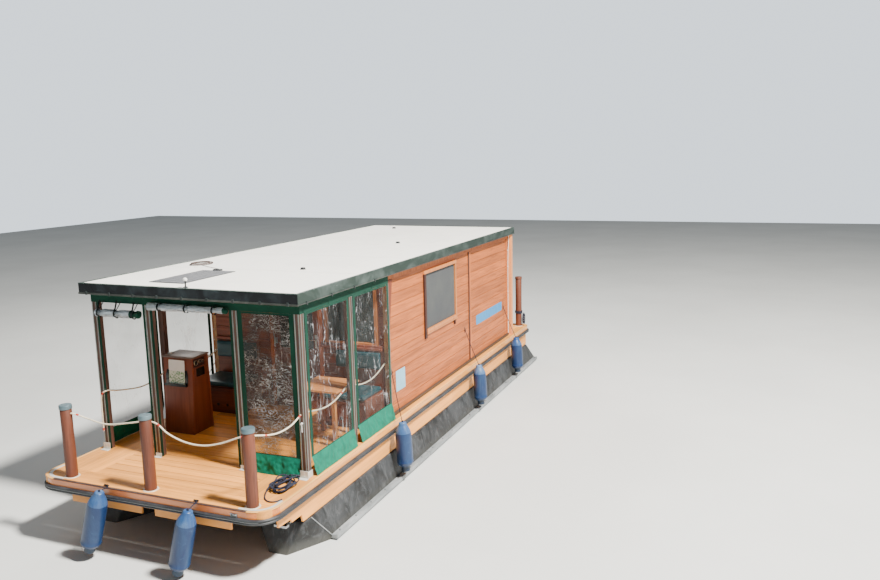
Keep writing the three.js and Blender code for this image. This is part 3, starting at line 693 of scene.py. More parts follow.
BOW_ROUTE = [
    (-1.1249, -0.8617, 0.77), (-1.103, -0.8582, 0.77), (-1.04, -0.832, 0.748), (-0.925, -0.804, 0.706),
    (-0.67, -0.794, 0.666), (-0.36, -0.794, 0.712), (-0.14, -0.794, 0.757), (-0.02, -0.794, 0.768),
    (0.085, -0.794, 0.742), (0.22, -0.794, 0.65), (0.445, -0.794, 0.58), (0.68, -0.794, 0.57),
    (0.91, -0.794, 0.62), (1.15, -0.794, 0.712), (1.256, -0.792, 0.742), (1.313, -0.772, 0.747),
    (1.346, -0.708, 0.731), (1.378, -0.56, 0.689), (1.402, -0.4, 0.664), (1.43, -0.215, 0.682),
    (1.453, -0.095, 0.735), (1.466, -0.056, 0.765),
]
CABLE_ROUTE = [
    (1.5, 7.652, HEADROOM - 0.0003), (1.5, 7.652, 1.9), (1.49, 7.64, 1.5), (1.488, 7.636, 0.9),
    (1.488, 7.636, 0.5), (1.488, 7.636, 0.12), (1.488, 7.636, 0.0003),
]


class HOUSEBOAT_OT_barrier_ropes(bpy.types.Operator):
    """Hangs the cream ropes between bollards, posts and cabin, with their red bindings"""

    bl_idname = "houseboat.barrier_ropes"
    bl_label = "Barrier ropes"

    def execute(self, context):
        ropes = settings("ropes")
        fibre = rope_fibre("cream rope", ropes.cream, shade(ropes.cream, 0.7))
        binding = rope_fibre("red whipping", ropes.whipping, shade(ropes.whipping, 0.6), 0.2)
        # each rope: its route, how far along it the red bindings sit, and what its far end meets
        routes = {
            "port": (PORT_ROUTE, (0.98, 1.26), "object"),
            "starboard": (STARBOARD_ROUTE, (0.98, 1.3, 2.33, 2.84), "bare"),
            "bow": (BOW_ROUTE, (0.06, 1.0, 1.24, 2.42, 2.72, 3.3), "object"),
        }
        for side, (route, bindings, far_end) in routes.items():
            path = smooth_path(route, 0.008)
            bm = bmesh.new()
            laid_rope(bm, path, ropes.barrier_diameter, ropes.strands, ropes.lay)
            rope = piece(f"rope_{side}", bm, [fibre], (f"barrier_rope_{side}",), smooth=50)
            bm = bmesh.new()
            total = run_length(path)
            for place in bindings:
                first = min(len(path) - 6, max(1, round(place / total * (len(path) - 1))))
                add_bead(bm, path[first:first + 5], ropes.barrier_diameter * 0.56)
            marks = piece(f"whippings_{side}", bm, [binding], smooth=50)
        return {"FINISHED"}


# Deck: its boards, its thickness and the radii of its corners


BOARD_THICK = 0.007
DECK_THICK = 0.1
BOW_RADIUS = 0.23
STERN_RADIUS = 0.09


def deck_outline(grow, z, steps=12):
    """Points round the deck's rounded outline, let out by grow."""
    points = []
    corners = [(1, -1, BOW_RADIUS), (1, 1, STERN_RADIUS), (-1, 1, STERN_RADIUS), (-1, -1, BOW_RADIUS)]
    for i, (side, end, radius) in enumerate(corners):
        centre = (side * (DECK_HALF - radius), DECK_BOW + radius if end < 0 else DECK_STERN - radius)
        first = math.radians(-90 + 90 * i)
        for k in range(steps + 1):
            angle = first + math.radians(90) * k / steps
            points.append((centre[0] + (radius + grow) * math.cos(angle),
                           centre[1] + (radius + grow) * math.sin(angle), z))
    return points


def split_sides(bm, within):
    """Gives the faces that run along the boat's sides the second material."""
    for face in bm.faces:
        face.material_index = 1 if abs(face.calc_center_median().x) > DECK_HALF - within else 0


def rounded_box(width, height, soft, lift=0.0):
    """Section of a board whose corners are eased."""
    half = width / 2
    low, high = lift - height / 2, lift + height / 2
    return [(-half + soft, low), (half - soft, low), (half, low + soft), (half, high - soft),
            (half - soft, high), (-half + soft, high), (-half, high - soft), (-half, low + soft)]


def spans(low, high, cuts):
    """What is left of low to high between the cuts."""
    left = [(low, high)]
    for start, end in cuts:
        left = [part for a, b in left
                for part in ((a, min(b, start)), (max(a, end), b)) if part[1] - part[0] > 0.003]
    return left


class HOUSEBOAT_OT_deck(bpy.types.Operator):
    """Lays the deck boards: a cross-laid field between long boards at each side"""

    bl_idname = "houseboat.deck"
    bl_label = "Deck boards"

    def execute(self, context):
        timber = settings("timber")
        random.seed(11)
        stern_seam, bow_seam = DECK_STERN - BORDER, DECK_BOW + BORDER
        field, joint = 1.0, timber.deck_gap / 2
        bm = bmesh.new()
        rows = round((stern_seam - bow_seam) / timber.deck_pitch)
        pitch = (stern_seam - bow_seam) / rows
        for i in range(rows):
            low = bow_seam + i * pitch
            add_box(bm, (-field, field), (low + joint, low + pitch - joint), (-BOARD_THICK, 0.0), any_tone())
        strips = 4
        width = (DECK_HALF - field) / strips
        for side in (-1, 1):
            for k in range(strips):
                edges = flank(side, field + k * width + joint, field + (k + 1) * width)
                start = bow_seam + joint
                while start < stern_seam - 0.01:
                    end = min(stern_seam, start + random.uniform(2.2, 3.6))
                    end = stern_seam if stern_seam - end < 0.6 else end
                    add_box(bm, edges, (start, end - 0.003), (-BOARD_THICK, 0.0), any_tone(), index=1)
                    start = end
        bevel_all(bm, 0.0015)
        add_box(bm, (-DECK_HALF + 0.004, DECK_HALF - 0.004), (bow_seam + 0.004, stern_seam - 0.004),
                (-DECK_THICK, -BOARD_THICK - 0.0002), index=2)
        piece("deck_boards", bm, [
            wood("deck wood across", timber.deck_colour, "X", 0.22, grime=0.22),
            wood("deck wood along", timber.deck_colour, "Y", 0.22, grime=0.22),
            moulded("deck core", tint("#1c120b"), tint("#2a1c12")),
        ], ("deck",))
        return {"FINISHED"}


class HOUSEBOAT_OT_borders(bpy.types.Operator):
    """Puts the border boards and their round bollards at the bow and the stern"""

    bl_idname = "houseboat.borders"
    bl_label = "Borders and bollards"

    def execute(self, context):
        timber = settings("timber")
        random.seed(12)
        for end, low, high, node in (("bow", DECK_BOW, DECK_BOW + BORDER, "bow_board"),
                                     ("stern", DECK_STERN - BORDER, DECK_STERN, "stern_board")):
            bm = bmesh.new()
            for i in range(2):
                first = low + i * BORDER / 2
                add_box(bm, (-DECK_HALF, DECK_HALF), (first + 0.0015, first + BORDER / 2 - 0.0015),
                        (-DECK_THICK, 0.0), any_tone())
            radius = BOW_RADIUS if end == "bow" else STERN_RADIUS
            outer = low if end == "bow" else high
            uprights = [e for e in bm.edges if abs(e.verts[0].co.z - e.verts[1].co.z) > 0.05
                        and abs(e.verts[0].co.y - outer) < 0.01]
            bevel_edges(bm, uprights, min(radius, BORDER / 2 - 0.004), 10)
            piece(f"{end}_border", bm, [wood("deck wood across", timber.deck_colour, "X", 0.22)],
                  (node,))
            bm = bmesh.new()
            if end == "bow":
                places, height = ((-1.19, -0.872), (-0.02, -0.872), (1.345, -0.872)), 0.876
            else:
                places, height = ((-1.44, 8.52), (1.44, 8.52)), 1.06
            log = [(0, 0.0), (0.066, 0.0), (0.0665, height * 0.3), (0.065, height * 0.6),
                   (0.066, height - 0.05), (0.063, height - 0.046), (0, height - 0.046)]
            cap = [(0, height - 0.052), (0.0705, height - 0.052), (0.072, height - 0.048),
                   (0.072, height - 0.01), (0.068, height - 0.003), (0, height)]
            foot = [(0, 0.0), (0.088, 0.0), (0.084, 0.005), (0, 0.005)]
            for x, y in places:
                add_turned(bm, log, (x, y, 0), steps=28)
                add_turned(bm, cap, (x, y, 0), steps=28, index=1 if end == "bow" else 0)
                add_turned(bm, foot, (x, y, 0), steps=28, index=2)
            piece(f"{end}_bollards", bm, [
                wood("bollard wood", timber.bollard_colour, "Z", 0.5, grime=0.5),
                painted_metal("bollard cap", tint("#5b7078"), tint("#7e8f94"), 0.5),
                plain_paint("sealant", tint("#d8c9b4")),
            ], smooth=40)
        return {"FINISHED"}


class HOUSEBOAT_OT_edge(bpy.types.Operator):
    """Runs the varnished edge board, its nosing, painted dark across the bow and stern as a shadow line, and
    corner plates round the deck
    """

    bl_idname = "houseboat.edge"
    bl_label = "Edge board"

    def execute(self, context):
        timber = settings("timber")
        bm = bmesh.new()
        sweep(bm, deck_outline(0.012, -0.06), rounded_box(0.024, 0.1, 0.004), closed=True)
        for face in bm.faces:
            middle = face.calc_center_median()
            rounded = middle.y < DECK_BOW + BOW_RADIUS and abs(middle.x) > DECK_HALF - BOW_RADIUS
            face.material_index = 2 if rounded else 1 if abs(middle.x) > DECK_HALF else 0
        piece("edge_board", bm, [
            wood("edge wood across", timber.edge_colour, "X", 0.35, rough=(0.18, 0.35), coat=0.6),
            wood("edge wood along", timber.fascia_colour, "Y", 0.3, rough=(0.25, 0.45), coat=0.3),
            wood("corner wood", tint("#e07a14"), "X", 0.4, rough=(0.15, 0.3), coat=0.7),
        ], ("deck_edge",), smooth=30)
        bm = bmesh.new()
        sweep(bm, deck_outline(0.014, -0.004), rounded_box(0.03, 0.009, 0.003), closed=True)
        split_sides(bm, 0.3)
        # across the bow and the stern the nosing is near-black, a painted shadow line along the deck's edge;
        # along the sides it is pale wood
        piece("edge_nosing_with_end_shadow", bm, [
            moulded("nosing", tint("#43302a"), tint("#6b5546"), 0.3),
            wood("nosing wood", tint("#f3b765"), "Y", 0.15, grime=0.1),
        ], smooth=30)
        bm = bmesh.new()
        outline = deck_outline(-0.02, 0.0012, 24)
        for side in (-1, 1):
            bend = [Vector(p) for p in outline if p[1] < DECK_BOW + BOW_RADIUS + 0.001 and side * p[0] > 0]
            bend.sort(key=lambda p: side * p.x + p.y)
            run = [Vector((side * (DECK_HALF - BOW_RADIUS - 0.12), DECK_BOW + 0.02, 0.0012)), *bend,
                   Vector((side * (DECK_HALF - 0.02), DECK_BOW + BOW_RADIUS + 0.1, 0.0012))]
            sweep(bm, run, [(-0.019, -0.001), (0.019, -0.001), (0.019, 0.0016), (-0.019, 0.0016)])
            for point in (run[0], run[len(run) // 2], run[-1]):
                add_turned(bm, SCREW, (point.x, point.y, 0.003), steps=10)
        piece("corner_plates", bm, [painted_metal("white metal", tint("#dadad2"), tint("#a9a79e"), 0.5)],
              smooth=40)
        bm = bmesh.new()
        eye = [(1.195 + 0.03 * math.cos(a) * (1.2 if abs(math.cos(a)) > 0.5 else 1.0), DECK_BOW - 0.034,
                -0.062 + 0.014 * math.sin(a)) for a in turns(20)]
        add_bead(bm, eye, 0.0035, closed=True)
        add_box(bm, (1.15, 1.24), (DECK_BOW - 0.0285, DECK_BOW - 0.0255), (-0.082, -0.042))
        piece("lashing_eye", bm, [bare_metal("steel", tint("#9aa0a2"))], smooth=40)
        return {"FINISHED"}


class HOUSEBOAT_OT_strake(bpy.types.Operator):
    """Runs the rubber strake, a backing with two beads and a bright line between them"""

    bl_idname = "houseboat.strake"
    bl_label = "Rubber strake"

    def execute(self, context):
        hull = settings("hull")
        bm = bmesh.new()
        middle = -0.115
        sweep(bm, deck_outline(0.03, middle), rounded_box(0.034, 0.062, 0.006), closed=True)
        for lift in (-0.0155, 0.0155):
            bead = [(0.0145 * math.cos(a), 0.0135 * math.sin(a)) for a in turns(12)]
            sweep(bm, deck_outline(0.045, middle + lift), bead, closed=True)
        piece("strake", bm, [moulded("rubber", hull.rubber_colour, tint("#5e6266"), 0.4, streak=(1, 1, 3))],
              ("rub_strake",), smooth=40)
        bm = bmesh.new()
        sweep(bm, deck_outline(0.048, middle), rounded_box(0.01, 0.008, 0.002), closed=True)
        split_sides(bm, 0.1)
        piece("strake_line", bm, [
            moulded("rubber line", tint("#7e8284"), tint("#b5b7b6"), 0.5),
            moulded("rubber line side", tint("#3c3a38"), tint("#55524e"), 0.4),
        ], smooth=40)
        return {"FINISHED"}


def wall_rows(*stops):
    """Plank edges: each stop is (height, planks below it)."""
    rows, low = [0.0], 0.0
    for high, count in stops:
        rows += [low + (high - low) * (i + 1) / count for i in range(count)]
        low = high
    return rows


WINDOW = (3.48, 4.795, 0.935, 1.905)
FRONT_WINDOW = (0.48, 1.33, 1.01, 1.905)
DOOR_HALF = 0.37
DOOR_TOP = 1.95


class HOUSEBOAT_OT_cladding(bpy.types.Operator):
    """Clads the four cabin walls in level planks over a plain core"""

    bl_idname = "houseboat.cladding"
    bl_label = "Cabin walls"

    def execute(self, context):
        timber = settings("timber")
        thick, groove = timber.plank_thick, 0.006
        side_rows = wall_rows((WINDOW[2], 6), (WINDOW[3], 6), (HEADROOM, 1))
        front_rows = wall_rows((FRONT_WINDOW[2], 7), (FRONT_WINDOW[3], 6), (HEADROOM, 1))
        door = (-DOOR_HALF, DOOR_HALF, 0.0, DOOR_TOP)
        walls = {
            "port": (0, CABIN_HALF, -1, (CABIN_FRONT, CABIN_AFT), side_rows, [WINDOW]),
            "starboard": (0, -CABIN_HALF, 1, (CABIN_FRONT, CABIN_AFT), side_rows, [WINDOW]),
            "front": (1, CABIN_FRONT, 1, (-CABIN_HALF + 0.06, CABIN_HALF - 0.06), front_rows,
                      [FRONT_WINDOW, door]),
            "aft": (1, CABIN_AFT, -1, (-CABIN_HALF + 0.06, CABIN_HALF - 0.06), front_rows, [door]),
        }
        for name, (axis, face, inward, reach, rows, openings) in walls.items():
            random.seed(len(name) * 7)
            bm = bmesh.new()
            layers = ((face, face + inward * thick, groove, 0),
                      (face + inward * (thick + 0.001), face + inward * 0.059, 0.0, 1))
            for outer, inner, gap, index in layers:
                for bottom, top in zip(rows, rows[1:]):
                    cuts = [(o[0], o[1]) for o in openings if o[2] < top - 0.004 and o[3] > bottom + 0.004
                            and not (o is door and bottom > 1.9)]
                    tone = any_tone()
                    for along in spans(*reach, cuts):
                        through = sorted((outer, inner))
                        x, y = (through, along) if axis == 0 else (along, through)
                        add_box(bm, x, y, (bottom + gap / 2, min(top - gap / 2, HEADROOM - 0.001)), tone,
                                index)
            eased = [e for e in bm.edges if all(f.material_index == 0 for f in e.link_faces)]
            bevel_edges(bm, eased, 0.003, 2)
            grain = "Y" if axis == 0 else "X"
            if name == "front":
                outside = wood("front wall", timber.joinery_colour, "X", 0.45, grime=0.3)
            else:
                outside = wood(f"cladding {grain}", timber.cladding_colour, grain, 0.55, grime=0.3,
                               scale=24.0, tones=0.16)
            if name == "aft":
                for side in (-1, 1):
                    add_box(bm, flank(side, 1.46, 1.55), (7.668, 7.758), (0.0, HEADROOM - 0.0005), 0.6, 2)
                    add_box(bm, flank(side, 1.4, 1.474), (CABIN_AFT - 0.001, 7.69), (1.93, HEADROOM - 0.001),
                            0.2, 2)
            piece(f"walls_{name}", bm, [outside, wood(f"inner boards {grain}", tint("#b98d62"), grain, 0.25),
                                        wood("corner post wood", tint("#dd8f55"), "Z", 0.3)],
                  (f"wall_{name}",))
        return {"FINISHED"}


class HOUSEBOAT_OT_wall_trim(bpy.types.Operator):
    """Adds corner boards, battens, the plain strip and the blank plate on the cabin's outside"""

    bl_idname = "houseboat.wall_trim"
    bl_label = "Cabin trim"

    def execute(self, context):
        timber = settings("timber")
        bm = bmesh.new()
        random.seed(5)
        for side in (-1, 1):
            face = side * CABIN_HALF
            # the third board, along the wall's top under the roof, gets a dark tone: painted shade of the
            # roof's overhang
            for out, y, z, tone in ((0.014, (5.441, 5.495), (0.05, 1.96), 1.0),
                                    (0.012, (CABIN_AFT - 0.06, CABIN_AFT), (0.0, 1.98), 0.8),
                                    (0.02, (CABIN_FRONT, CABIN_AFT), (1.965, HEADROOM - 0.001), -0.6)):
                add_box(bm, sorted((face, face + side * out)), y, z, tone)
        for y, out in ((CABIN_FRONT, -0.014), (CABIN_AFT, 0.014)):
            for x0, x1, z0, z1 in ((-DOOR_HALF - 0.075, -DOOR_HALF - 0.005, 0.0, DOOR_TOP + 0.075),
                                   (DOOR_HALF + 0.005, DOOR_HALF + 0.075, 0.0, DOOR_TOP + 0.075),
                                   (-DOOR_HALF - 0.005, DOOR_HALF + 0.005, DOOR_TOP + 0.008,
                                    DOOR_TOP + 0.075)):
                if x0 < -0.4:
                    x1 -= 0.018
                add_box(bm, (x0, x1), sorted((y, y + out)), (z0, z1), any_tone())
        bevel_all(bm, 0.0025, 2)
        piece("cabin_trim", bm, [wood("trim wood", shade(timber.cladding_colour, 0.95), "Z", 0.45)])

        pale, dark = bmesh.new(), bmesh.new()
        for side in (-1, 1):
            near, far = side * CABIN_HALF, side * (CABIN_HALF + 0.012)
            add_box(pale, sorted((near, far)), (CABIN_FRONT - 0.012, CABIN_FRONT + 0.006), (0.0, 1.95))
            outline = [(near, CABIN_FRONT + 0.007, 1.15), (near, CABIN_FRONT + 0.03, 1.15),
                       (near, CABIN_FRONT + 0.165, 1.955), (near, CABIN_FRONT + 0.007, 1.955)]
            add_panel(dark, outline, (side * 0.016, 0, 0), 0.002, index=1)
            # painted shadow of the batten: a dark strip along its forward side
            add_box(dark, sorted((near, far)), (5.39, 5.44), (0.05, 1.96))
            add_box(dark, sorted((near + side * 0.0005, side * (CABIN_HALF + 0.03))),
                    (CABIN_FRONT, CABIN_AFT), (0.0, 0.045), index=2)
            add_box(dark, sorted((near, far)), (CABIN_AFT - 0.005, CABIN_AFT + 0.004), (0.03, 1.96))
        bevel_all(pale, 0.002)
        bevel_all(dark, 0.002)
        piece("corner_strips", pale, [wood("pale strip", tint("#efc093"), "Z", 0.15)])
        piece("dark_strips_and_batten_shadow", dark, [
            wood("dark strip", tint("#4f2a1e"), "Z", 0.3),
            wood("corner board", tint("#7c3a22"), "Z", 0.4),
            moulded("foot strip", tint("#37302b"), tint("#5d544c"), 0.4),
        ])

        bm = bmesh.new()
        face = CABIN_HALF
        frame_wood = wood("window wood", tint("#c87c42"), "Z", 0.2, rough=(0.3, 0.5), grime=0.1)
        low, high, bottom, top = WINDOW
        wide = 0.05
        for side in (-1, 1):
            inner, outer = side * (face - 0.052), side * (face + 0.02)
            pair = sorted((inner, outer))
            add_box(bm, pair, (low, low + wide), (bottom, top - wide), 0.4)
            add_box(bm, pair, (high - wide, high), (bottom, top - wide), -0.3)
            add_box(bm, sorted((inner, side * (face + 0.026))), (low - 0.03, high + 0.004), (top - wide, top),
                    0.1)
            add_box(bm, sorted((inner, side * (face + 0.028))), (low + wide, high - wide),
                    (bottom, bottom + wide), 0.2)
            add_box(bm, flank(side, face + 0.001, face + 0.034), (low + 0.03, high),
                    (bottom - 0.022, bottom - 0.001), -0.2)
        low, high, bottom, top = FRONT_WINDOW
        for x, z in (((low, low + wide), (bottom, top)), ((high - wide, high), (bottom, top)),
                     ((low + wide, high - wide), (top - wide, top)),
                     ((low + wide, high - wide), (bottom, bottom + wide))):
            add_box(bm, x, (CABIN_FRONT - 0.022, CABIN_FRONT + 0.045), z, any_tone())
        bevel_all(bm, 0.003, 2)
        piece("window_frames", bm, [frame_wood], ("window_port", "window_starboard"))

        # painted shadows of the proud window frame: a dark strip down its forward side and past its foot, and
        # a short one under the sill's aft end
        bm = bmesh.new()
        low, high, bottom, top = WINDOW
        for side in (-1, 1):
            pair = flank(side, face, face + 0.03)
            add_box(bm, pair, (low - 0.034, low + 0.028), (bottom - 0.08, top - wide - 0.002), 0.0)
            add_box(bm, pair, (high - 0.125, high - 0.09), (bottom - 0.1, bottom - 0.024), 0.0)
        bevel_all(bm, 0.002)
        piece("window_frame_shadows", bm, [wood("dark track", tint("#3c1d14"), "Z", 0.3)])

        bm = bmesh.new()
        for side in (-1, 1):
            low, high, bottom, top = WINDOW
            add_box(bm, flank(side, face - 0.01, face - 0.006), (low + wide + 0.002, high - wide - 0.002),
                    (bottom + wide + 0.002, top - wide - 0.002))
        s = Shader("window blind")
        weave = s.sum(s.noise(420.0, (1, 0.2, 1), detail=1.0), s.noise(420.0, (1, 1, 0.2), detail=1.0))
        tone = s.mix(s.grade(s.noise(2.5, detail=5.0), 0.4, 0.7), tint("#44474a"), tint("#4e5150"))
        screen = s.finish(Base_Color=tone, Roughness=0.8, Normal=s.bump(weave, 0.3, 0.0008))
        piece("window_blinds", bm, [screen])

        bm = bmesh.new()
        add_box(bm, (face, face + 0.0015), (5.77, 7.25), (0.585, 0.76))
        bevel_edges(bm, [e for e in bm.edges if abs(e.verts[0].co.x - e.verts[1].co.x) > 1e-4], 0.03, 6)
        piece("plain_strip", bm, [plain_paint("strip blue", tint("#1787c4"))])
        bm = bmesh.new()
        add_box(bm, (face + 0.001, face + 0.004), (2.405, 2.71), (0.31, 0.615))
        bevel_all(bm, 0.001)
        for y in (2.42, 2.695):
            for z in (0.325, 0.6):
                add_turned(bm, SCREW, (face + 0.004, y, z),
                           TO_PORT, steps=8)
        piece("blank_plate", bm, [plain_paint("plate white", tint("#8cc0d6"), grime=0.3)],
              smooth=40)
        return {"FINISHED"}


class HOUSEBOAT_OT_posts(bpy.types.Operator):
    """Fits the posts' aluminium tracks, canvas edges and foot brackets"""

    bl_idname = "houseboat.posts"
    bl_label = "Posts and tracks"

    def execute(self, context):
        timber, textile = settings("timber"), settings("cloth")
        dress(wood("post wood", timber.post_colour, "Z", 0.4, grime=0.4), "front_frame", "port_frame",
              "starboard_frame")
        tracks, edges, feet = bmesh.new(), bmesh.new(), bmesh.new()
        low, high = 0.012, BEAM_LOW - 0.006
        for x in (-POST_X, -POST_INNER, POST_INNER, POST_X):
            for side in (-1, 1):
                rail = x + side * 0.026
                add_box(tracks, (rail - 0.0075, rail + 0.0075), (-POST - 0.0065, -POST), (low, high))
                add_box(tracks, (rail - 0.0035, rail + 0.0035), (-POST - 0.009, -POST - 0.006), (low, high))
                if abs(x + side * 0.05) < POST_X + 0.03:
                    hem = x + side * (POST + 0.016)
                    add_box(edges, (hem - 0.016, hem + 0.016), (-POST - 0.0042, -POST - 0.0012), (low, high))
        for side in (-1, 1):
            out = side * (POST_X + POST)
            for y, ends in ((0.0, (-1, 1)), (POST_SIDE, (-1, 1)), (CABIN_FRONT, (-1,))):
                for end in ends:
                    rail = y + end * (0.026 if y < 2 else 0.012)
                    add_box(tracks, sorted((out, out + side * 0.0065)), (rail - 0.0075, rail + 0.0075),
                            (low, high))
        bevel_all(tracks, 0.0012)
        piece("post_tracks", tracks, [bare_metal("aluminium", tint("#8b8f8a"), (0.3, 0.5), 0.3)])
        piece("post_edges", edges, [cloth("canvas", textile.canvas_colour)])
        for x in (-POST_X, POST_X):
            side = 1 if x > 0 else -1
            add_box(feet, (x - 0.055, x + 0.055), (-POST - 0.016, -POST - 0.01), (0.0, 0.09))
            add_box(feet, sorted((x + side * (POST + 0.007), x + side * (POST + 0.012))), (-0.05, 0.05),
                    (0.0, 0.08))
            add_box(feet, (x - 0.06, x + 0.06), (-POST - 0.07, -POST - 0.01), (0.0, 0.005))
        for x in (-POST_INNER, POST_INNER):
            add_box(feet, (x - 0.05, x + 0.05), (-POST - 0.055, -POST - 0.01), (0.0, 0.005))
            add_box(feet, (x - 0.045, x + 0.045), (-POST - 0.015, -POST - 0.01), (0.0, 0.05))
        bevel_all(feet, 0.0018)
        for x in (-POST_X, POST_X):
            for z in (0.03, 0.06):
                add_turned(feet, [(0, 0), (0.007, 0), (0.005, 0.004), (0, 0.004)], (x, -POST - 0.016, z),
                           TO_BOW, steps=6)
        piece("post_feet", feet, [painted_metal("white metal", tint("#dadad2"), tint("#a9a79e"), 0.5)],
              smooth=40)
        bm = bmesh.new()
        x, z = POST_X + 0.004, 0.66
        add_rod(bm, (x, -POST - 0.008, z), (x, -POST - 0.034, z), 0.012, 16)
        add_rod(bm, (x, -POST - 0.02, z), (x + 0.004, -POST - 0.024, z - 0.1), 0.005, 10)
        piece("post_levers", bm, [white_plastic()], smooth=40)
        return {"FINISHED"}


class HOUSEBOAT_OT_roof(bpy.types.Operator):
    """Finishes the roof: membrane seams, the lip round it, the clipped lower trim and a dark front plate that
    paints shade on its front face
    """

    bl_idname = "houseboat.roof"
    bl_label = "Roof"

    def execute(self, context):
        hull = settings("hull")
        dress(membrane("roof membrane", hull.roof_colour), "roof")
        dress(painted_metal("roof edge", hull.metal_colour, tint("#6d7a77"), 0.5), "roof_flashing")
        bm = bmesh.new()
        for y in (1.35, 2.9, 4.45, 6.0):
            add_box(bm, (-1.545, 1.545), (y, y + 0.05), (ROOF_TOP, ROOF_TOP + 0.0022), any_tone())
        for x in (-1.1, 1.0):
            add_box(bm, (x, x + 0.045), (-0.13, 7.78), (ROOF_TOP, ROOF_TOP + 0.0016), any_tone())
        bevel_all(bm, 0.0007)
        for side in (-1, 1):
            add_box(bm, flank(side, 1.5425, 1.5765), (-0.1635, 7.8135), (ROOF_TOP, ROOF_TOP + 0.006), 0.0, 1)
        for y in ((-0.1635, -0.1295), (7.7795, 7.8135)):
            add_box(bm, (-1.5425, 1.5425), y, (ROOF_TOP, ROOF_TOP + 0.006), 0.0, 1)
        piece("roof_seams", bm, [membrane("roof seam", shade(hull.roof_colour, 0.95)),
                                painted_metal("roof lip", shade(hull.metal_colour, 1.6), tint("#8b9895"),
                                              0.5)])
        bm = bmesh.new()
        low = HEADROOM - 0.002
        add_box(bm, (-1.58, 1.58), (-0.168, -0.158), (low - 0.01, low + 0.012))
        for side in (-1, 1):
            add_box(bm, flank(side, 1.573, 1.581), (-0.165, 7.81), (low - 0.004, low + 0.008))
        bevel_all(bm, 0.002)
        piece("roof_trim", bm, [painted_metal("lower trim", tint("#3c403d"), tint("#6f726c"), 0.5)])
        bm = bmesh.new()
        for i in range(9):
            x = -1.45 + 0.362 * i
            add_box(bm, (x - 0.014, x + 0.014), (-0.174, -0.156), (low - 0.014, low + 0.03))
        for side in (-1, 1):
            for i in range(4):
                y = 0.02 + 0.55 * i
                add_box(bm, flank(side, 1.572, 1.586), (y - 0.012, y + 0.012), (low - 0.02, low + 0.02))
        bevel_all(bm, 0.003, 2)
        piece("roof_clips", bm, [moulded("dark clip", tint("#1c2424"), tint("#3f4a4a"))])
        # a dark plate over the roof's front face, far darker than the side edges' metal: painted shade
        bm = bmesh.new()
        front = -0.1625
        add_box(bm, (-1.573, 1.573), (front, front + 0.003), (HEADROOM + 0.014, ROOF_TOP - 0.006))
        bevel_all(bm, 0.001)
        piece("roof_front_painted_shade", bm,
              [painted_metal("front metal", tint("#070e14"), tint("#36444a"), 0.6, rough=(0.25, 0.5))])
        return {"FINISHED"}


class HOUSEBOAT_OT_roof_fittings(bpy.types.Operator):
    """Adds the solar panel's cells, its lead box, the lamp and the vents"""

    bl_idname = "houseboat.roof_fittings"
    bl_label = "Roof fittings"

    def execute(self, context):
        x0, x1, y0, y1 = -0.735, -0.21, 0.13, 1.15
        bm = bmesh.new()
        add_box(bm, (x0, x1), (y0, y1), (ROOF_TOP + 0.0003, ROOF_TOP + 0.0085), index=0)
        bevel_all(bm, 0.002)
        across, along = 4, 8
        for i in range(across):
            for j in range(along):
                a = x0 + 0.022 + (x1 - x0 - 0.044) * i / across
                b = y0 + 0.022 + (y1 - y0 - 0.044) * j / along
                made = add_box(bm, (a + 0.002, a + (x1 - x0 - 0.044) / across - 0.002),
                               (b + 0.002, b + (y1 - y0 - 0.044) / along - 0.002),
                               (ROOF_TOP + 0.008, ROOF_TOP + 0.0095), any_tone(), index=1)
                touched = {e for v in made for e in v.link_edges}
                bevel_edges(bm, [e for e in touched if abs(e.verts[0].co.z - e.verts[1].co.z) > 0.001], 0.008)
        s = Shader("solar cell")
        lines = s.node("ShaderNodeTexWave", {"Vector": s.place((1, 0, 0)), "Scale": 55.0},
                       bands_direction="X")
        cell = s.mix(s.grade(lines.outputs["Fac"], 0.9, 1.0, 0.0, 0.3), tint("#1d2431"), tint("#3a4352"))
        cell = s.mix(s.grade(s.noise(7.0, detail=6.0), 0.45, 0.75, 0.0, 0.35), cell, tint("#363f4d"))
        cells = s.finish(Base_Color=cell, Roughness=0.35, Normal=s.bump(s.noise(3.0), 0.05, 0.002))
        piece("solar_sheet", bm, [plain_paint("solar backing", tint("#20262f")), cells],
              ("solar_panel",))
        bm = bmesh.new()
        add_box(bm, (-0.58, -0.46), (1.15, 1.21), (ROOF_TOP, ROOF_TOP + 0.022))
        bevel_all(bm, 0.005, 2)
        add_bead(bm, [(-0.5, 1.2, ROOF_TOP + 0.008), (-0.6, 1.3, ROOF_TOP + 0.006),
                      (-0.85, 1.42, ROOF_TOP + 0.006), (-1.08, 1.55, ROOF_TOP + 0.007)], 0.0035)
        piece("solar_box", bm, [black_plastic()], smooth=40)
        bm = bmesh.new()
        mast = [(0, 0), (0.03, 0), (0.03, 0.006), (0.014, 0.012), (0.009, 0.02), (0.009, 0.068),
                (0.016, 0.074), (0.016, 0.08), (0, 0.08)]
        lamp = [(0, 0.079), (0.017, 0.08), (0.026, 0.092), (0.024, 0.108), (0.014, 0.117), (0, 0.119)]
        vent = [(0, 0), (0.04, 0), (0.04, 0.004), (0.0335, 0.008), (0.0335, 0.019), (0.026, 0.0275),
                (0, 0.028)]
        for profile, x, y, index in ((mast, 0.01, -0.09, 1), (lamp, 0.01, -0.09, 0), (vent, 0.568, 1.561, 1),
                                     (vent, -0.805, 7.204, 1), (vent, 0.467, 4.711, 1)):
            add_turned(bm, profile, (x, y, ROOF_TOP), steps=20, index=index)
        piece("lamp", bm, [plain_paint("lamp white", tint("#f2f2ee")), black_plastic()],
              ("mast_light",), smooth=45)
        return {"FINISHED"}


def thin_lines(s, spot, frequency, width):
    """Thin lines where a noise crosses its middle."""
    texture = s.node("ShaderNodeTexNoise", {
        "Vector": spot, "Scale": frequency, "Detail": 3.0, "Roughness": 0.55})
    off = s.sum(s.sum(texture.outputs["Fac"], 0.5, "SUBTRACT"), 0.0, "ABSOLUTE")
    return s.grade(off, 0.0, width, 1.0, 0.0)


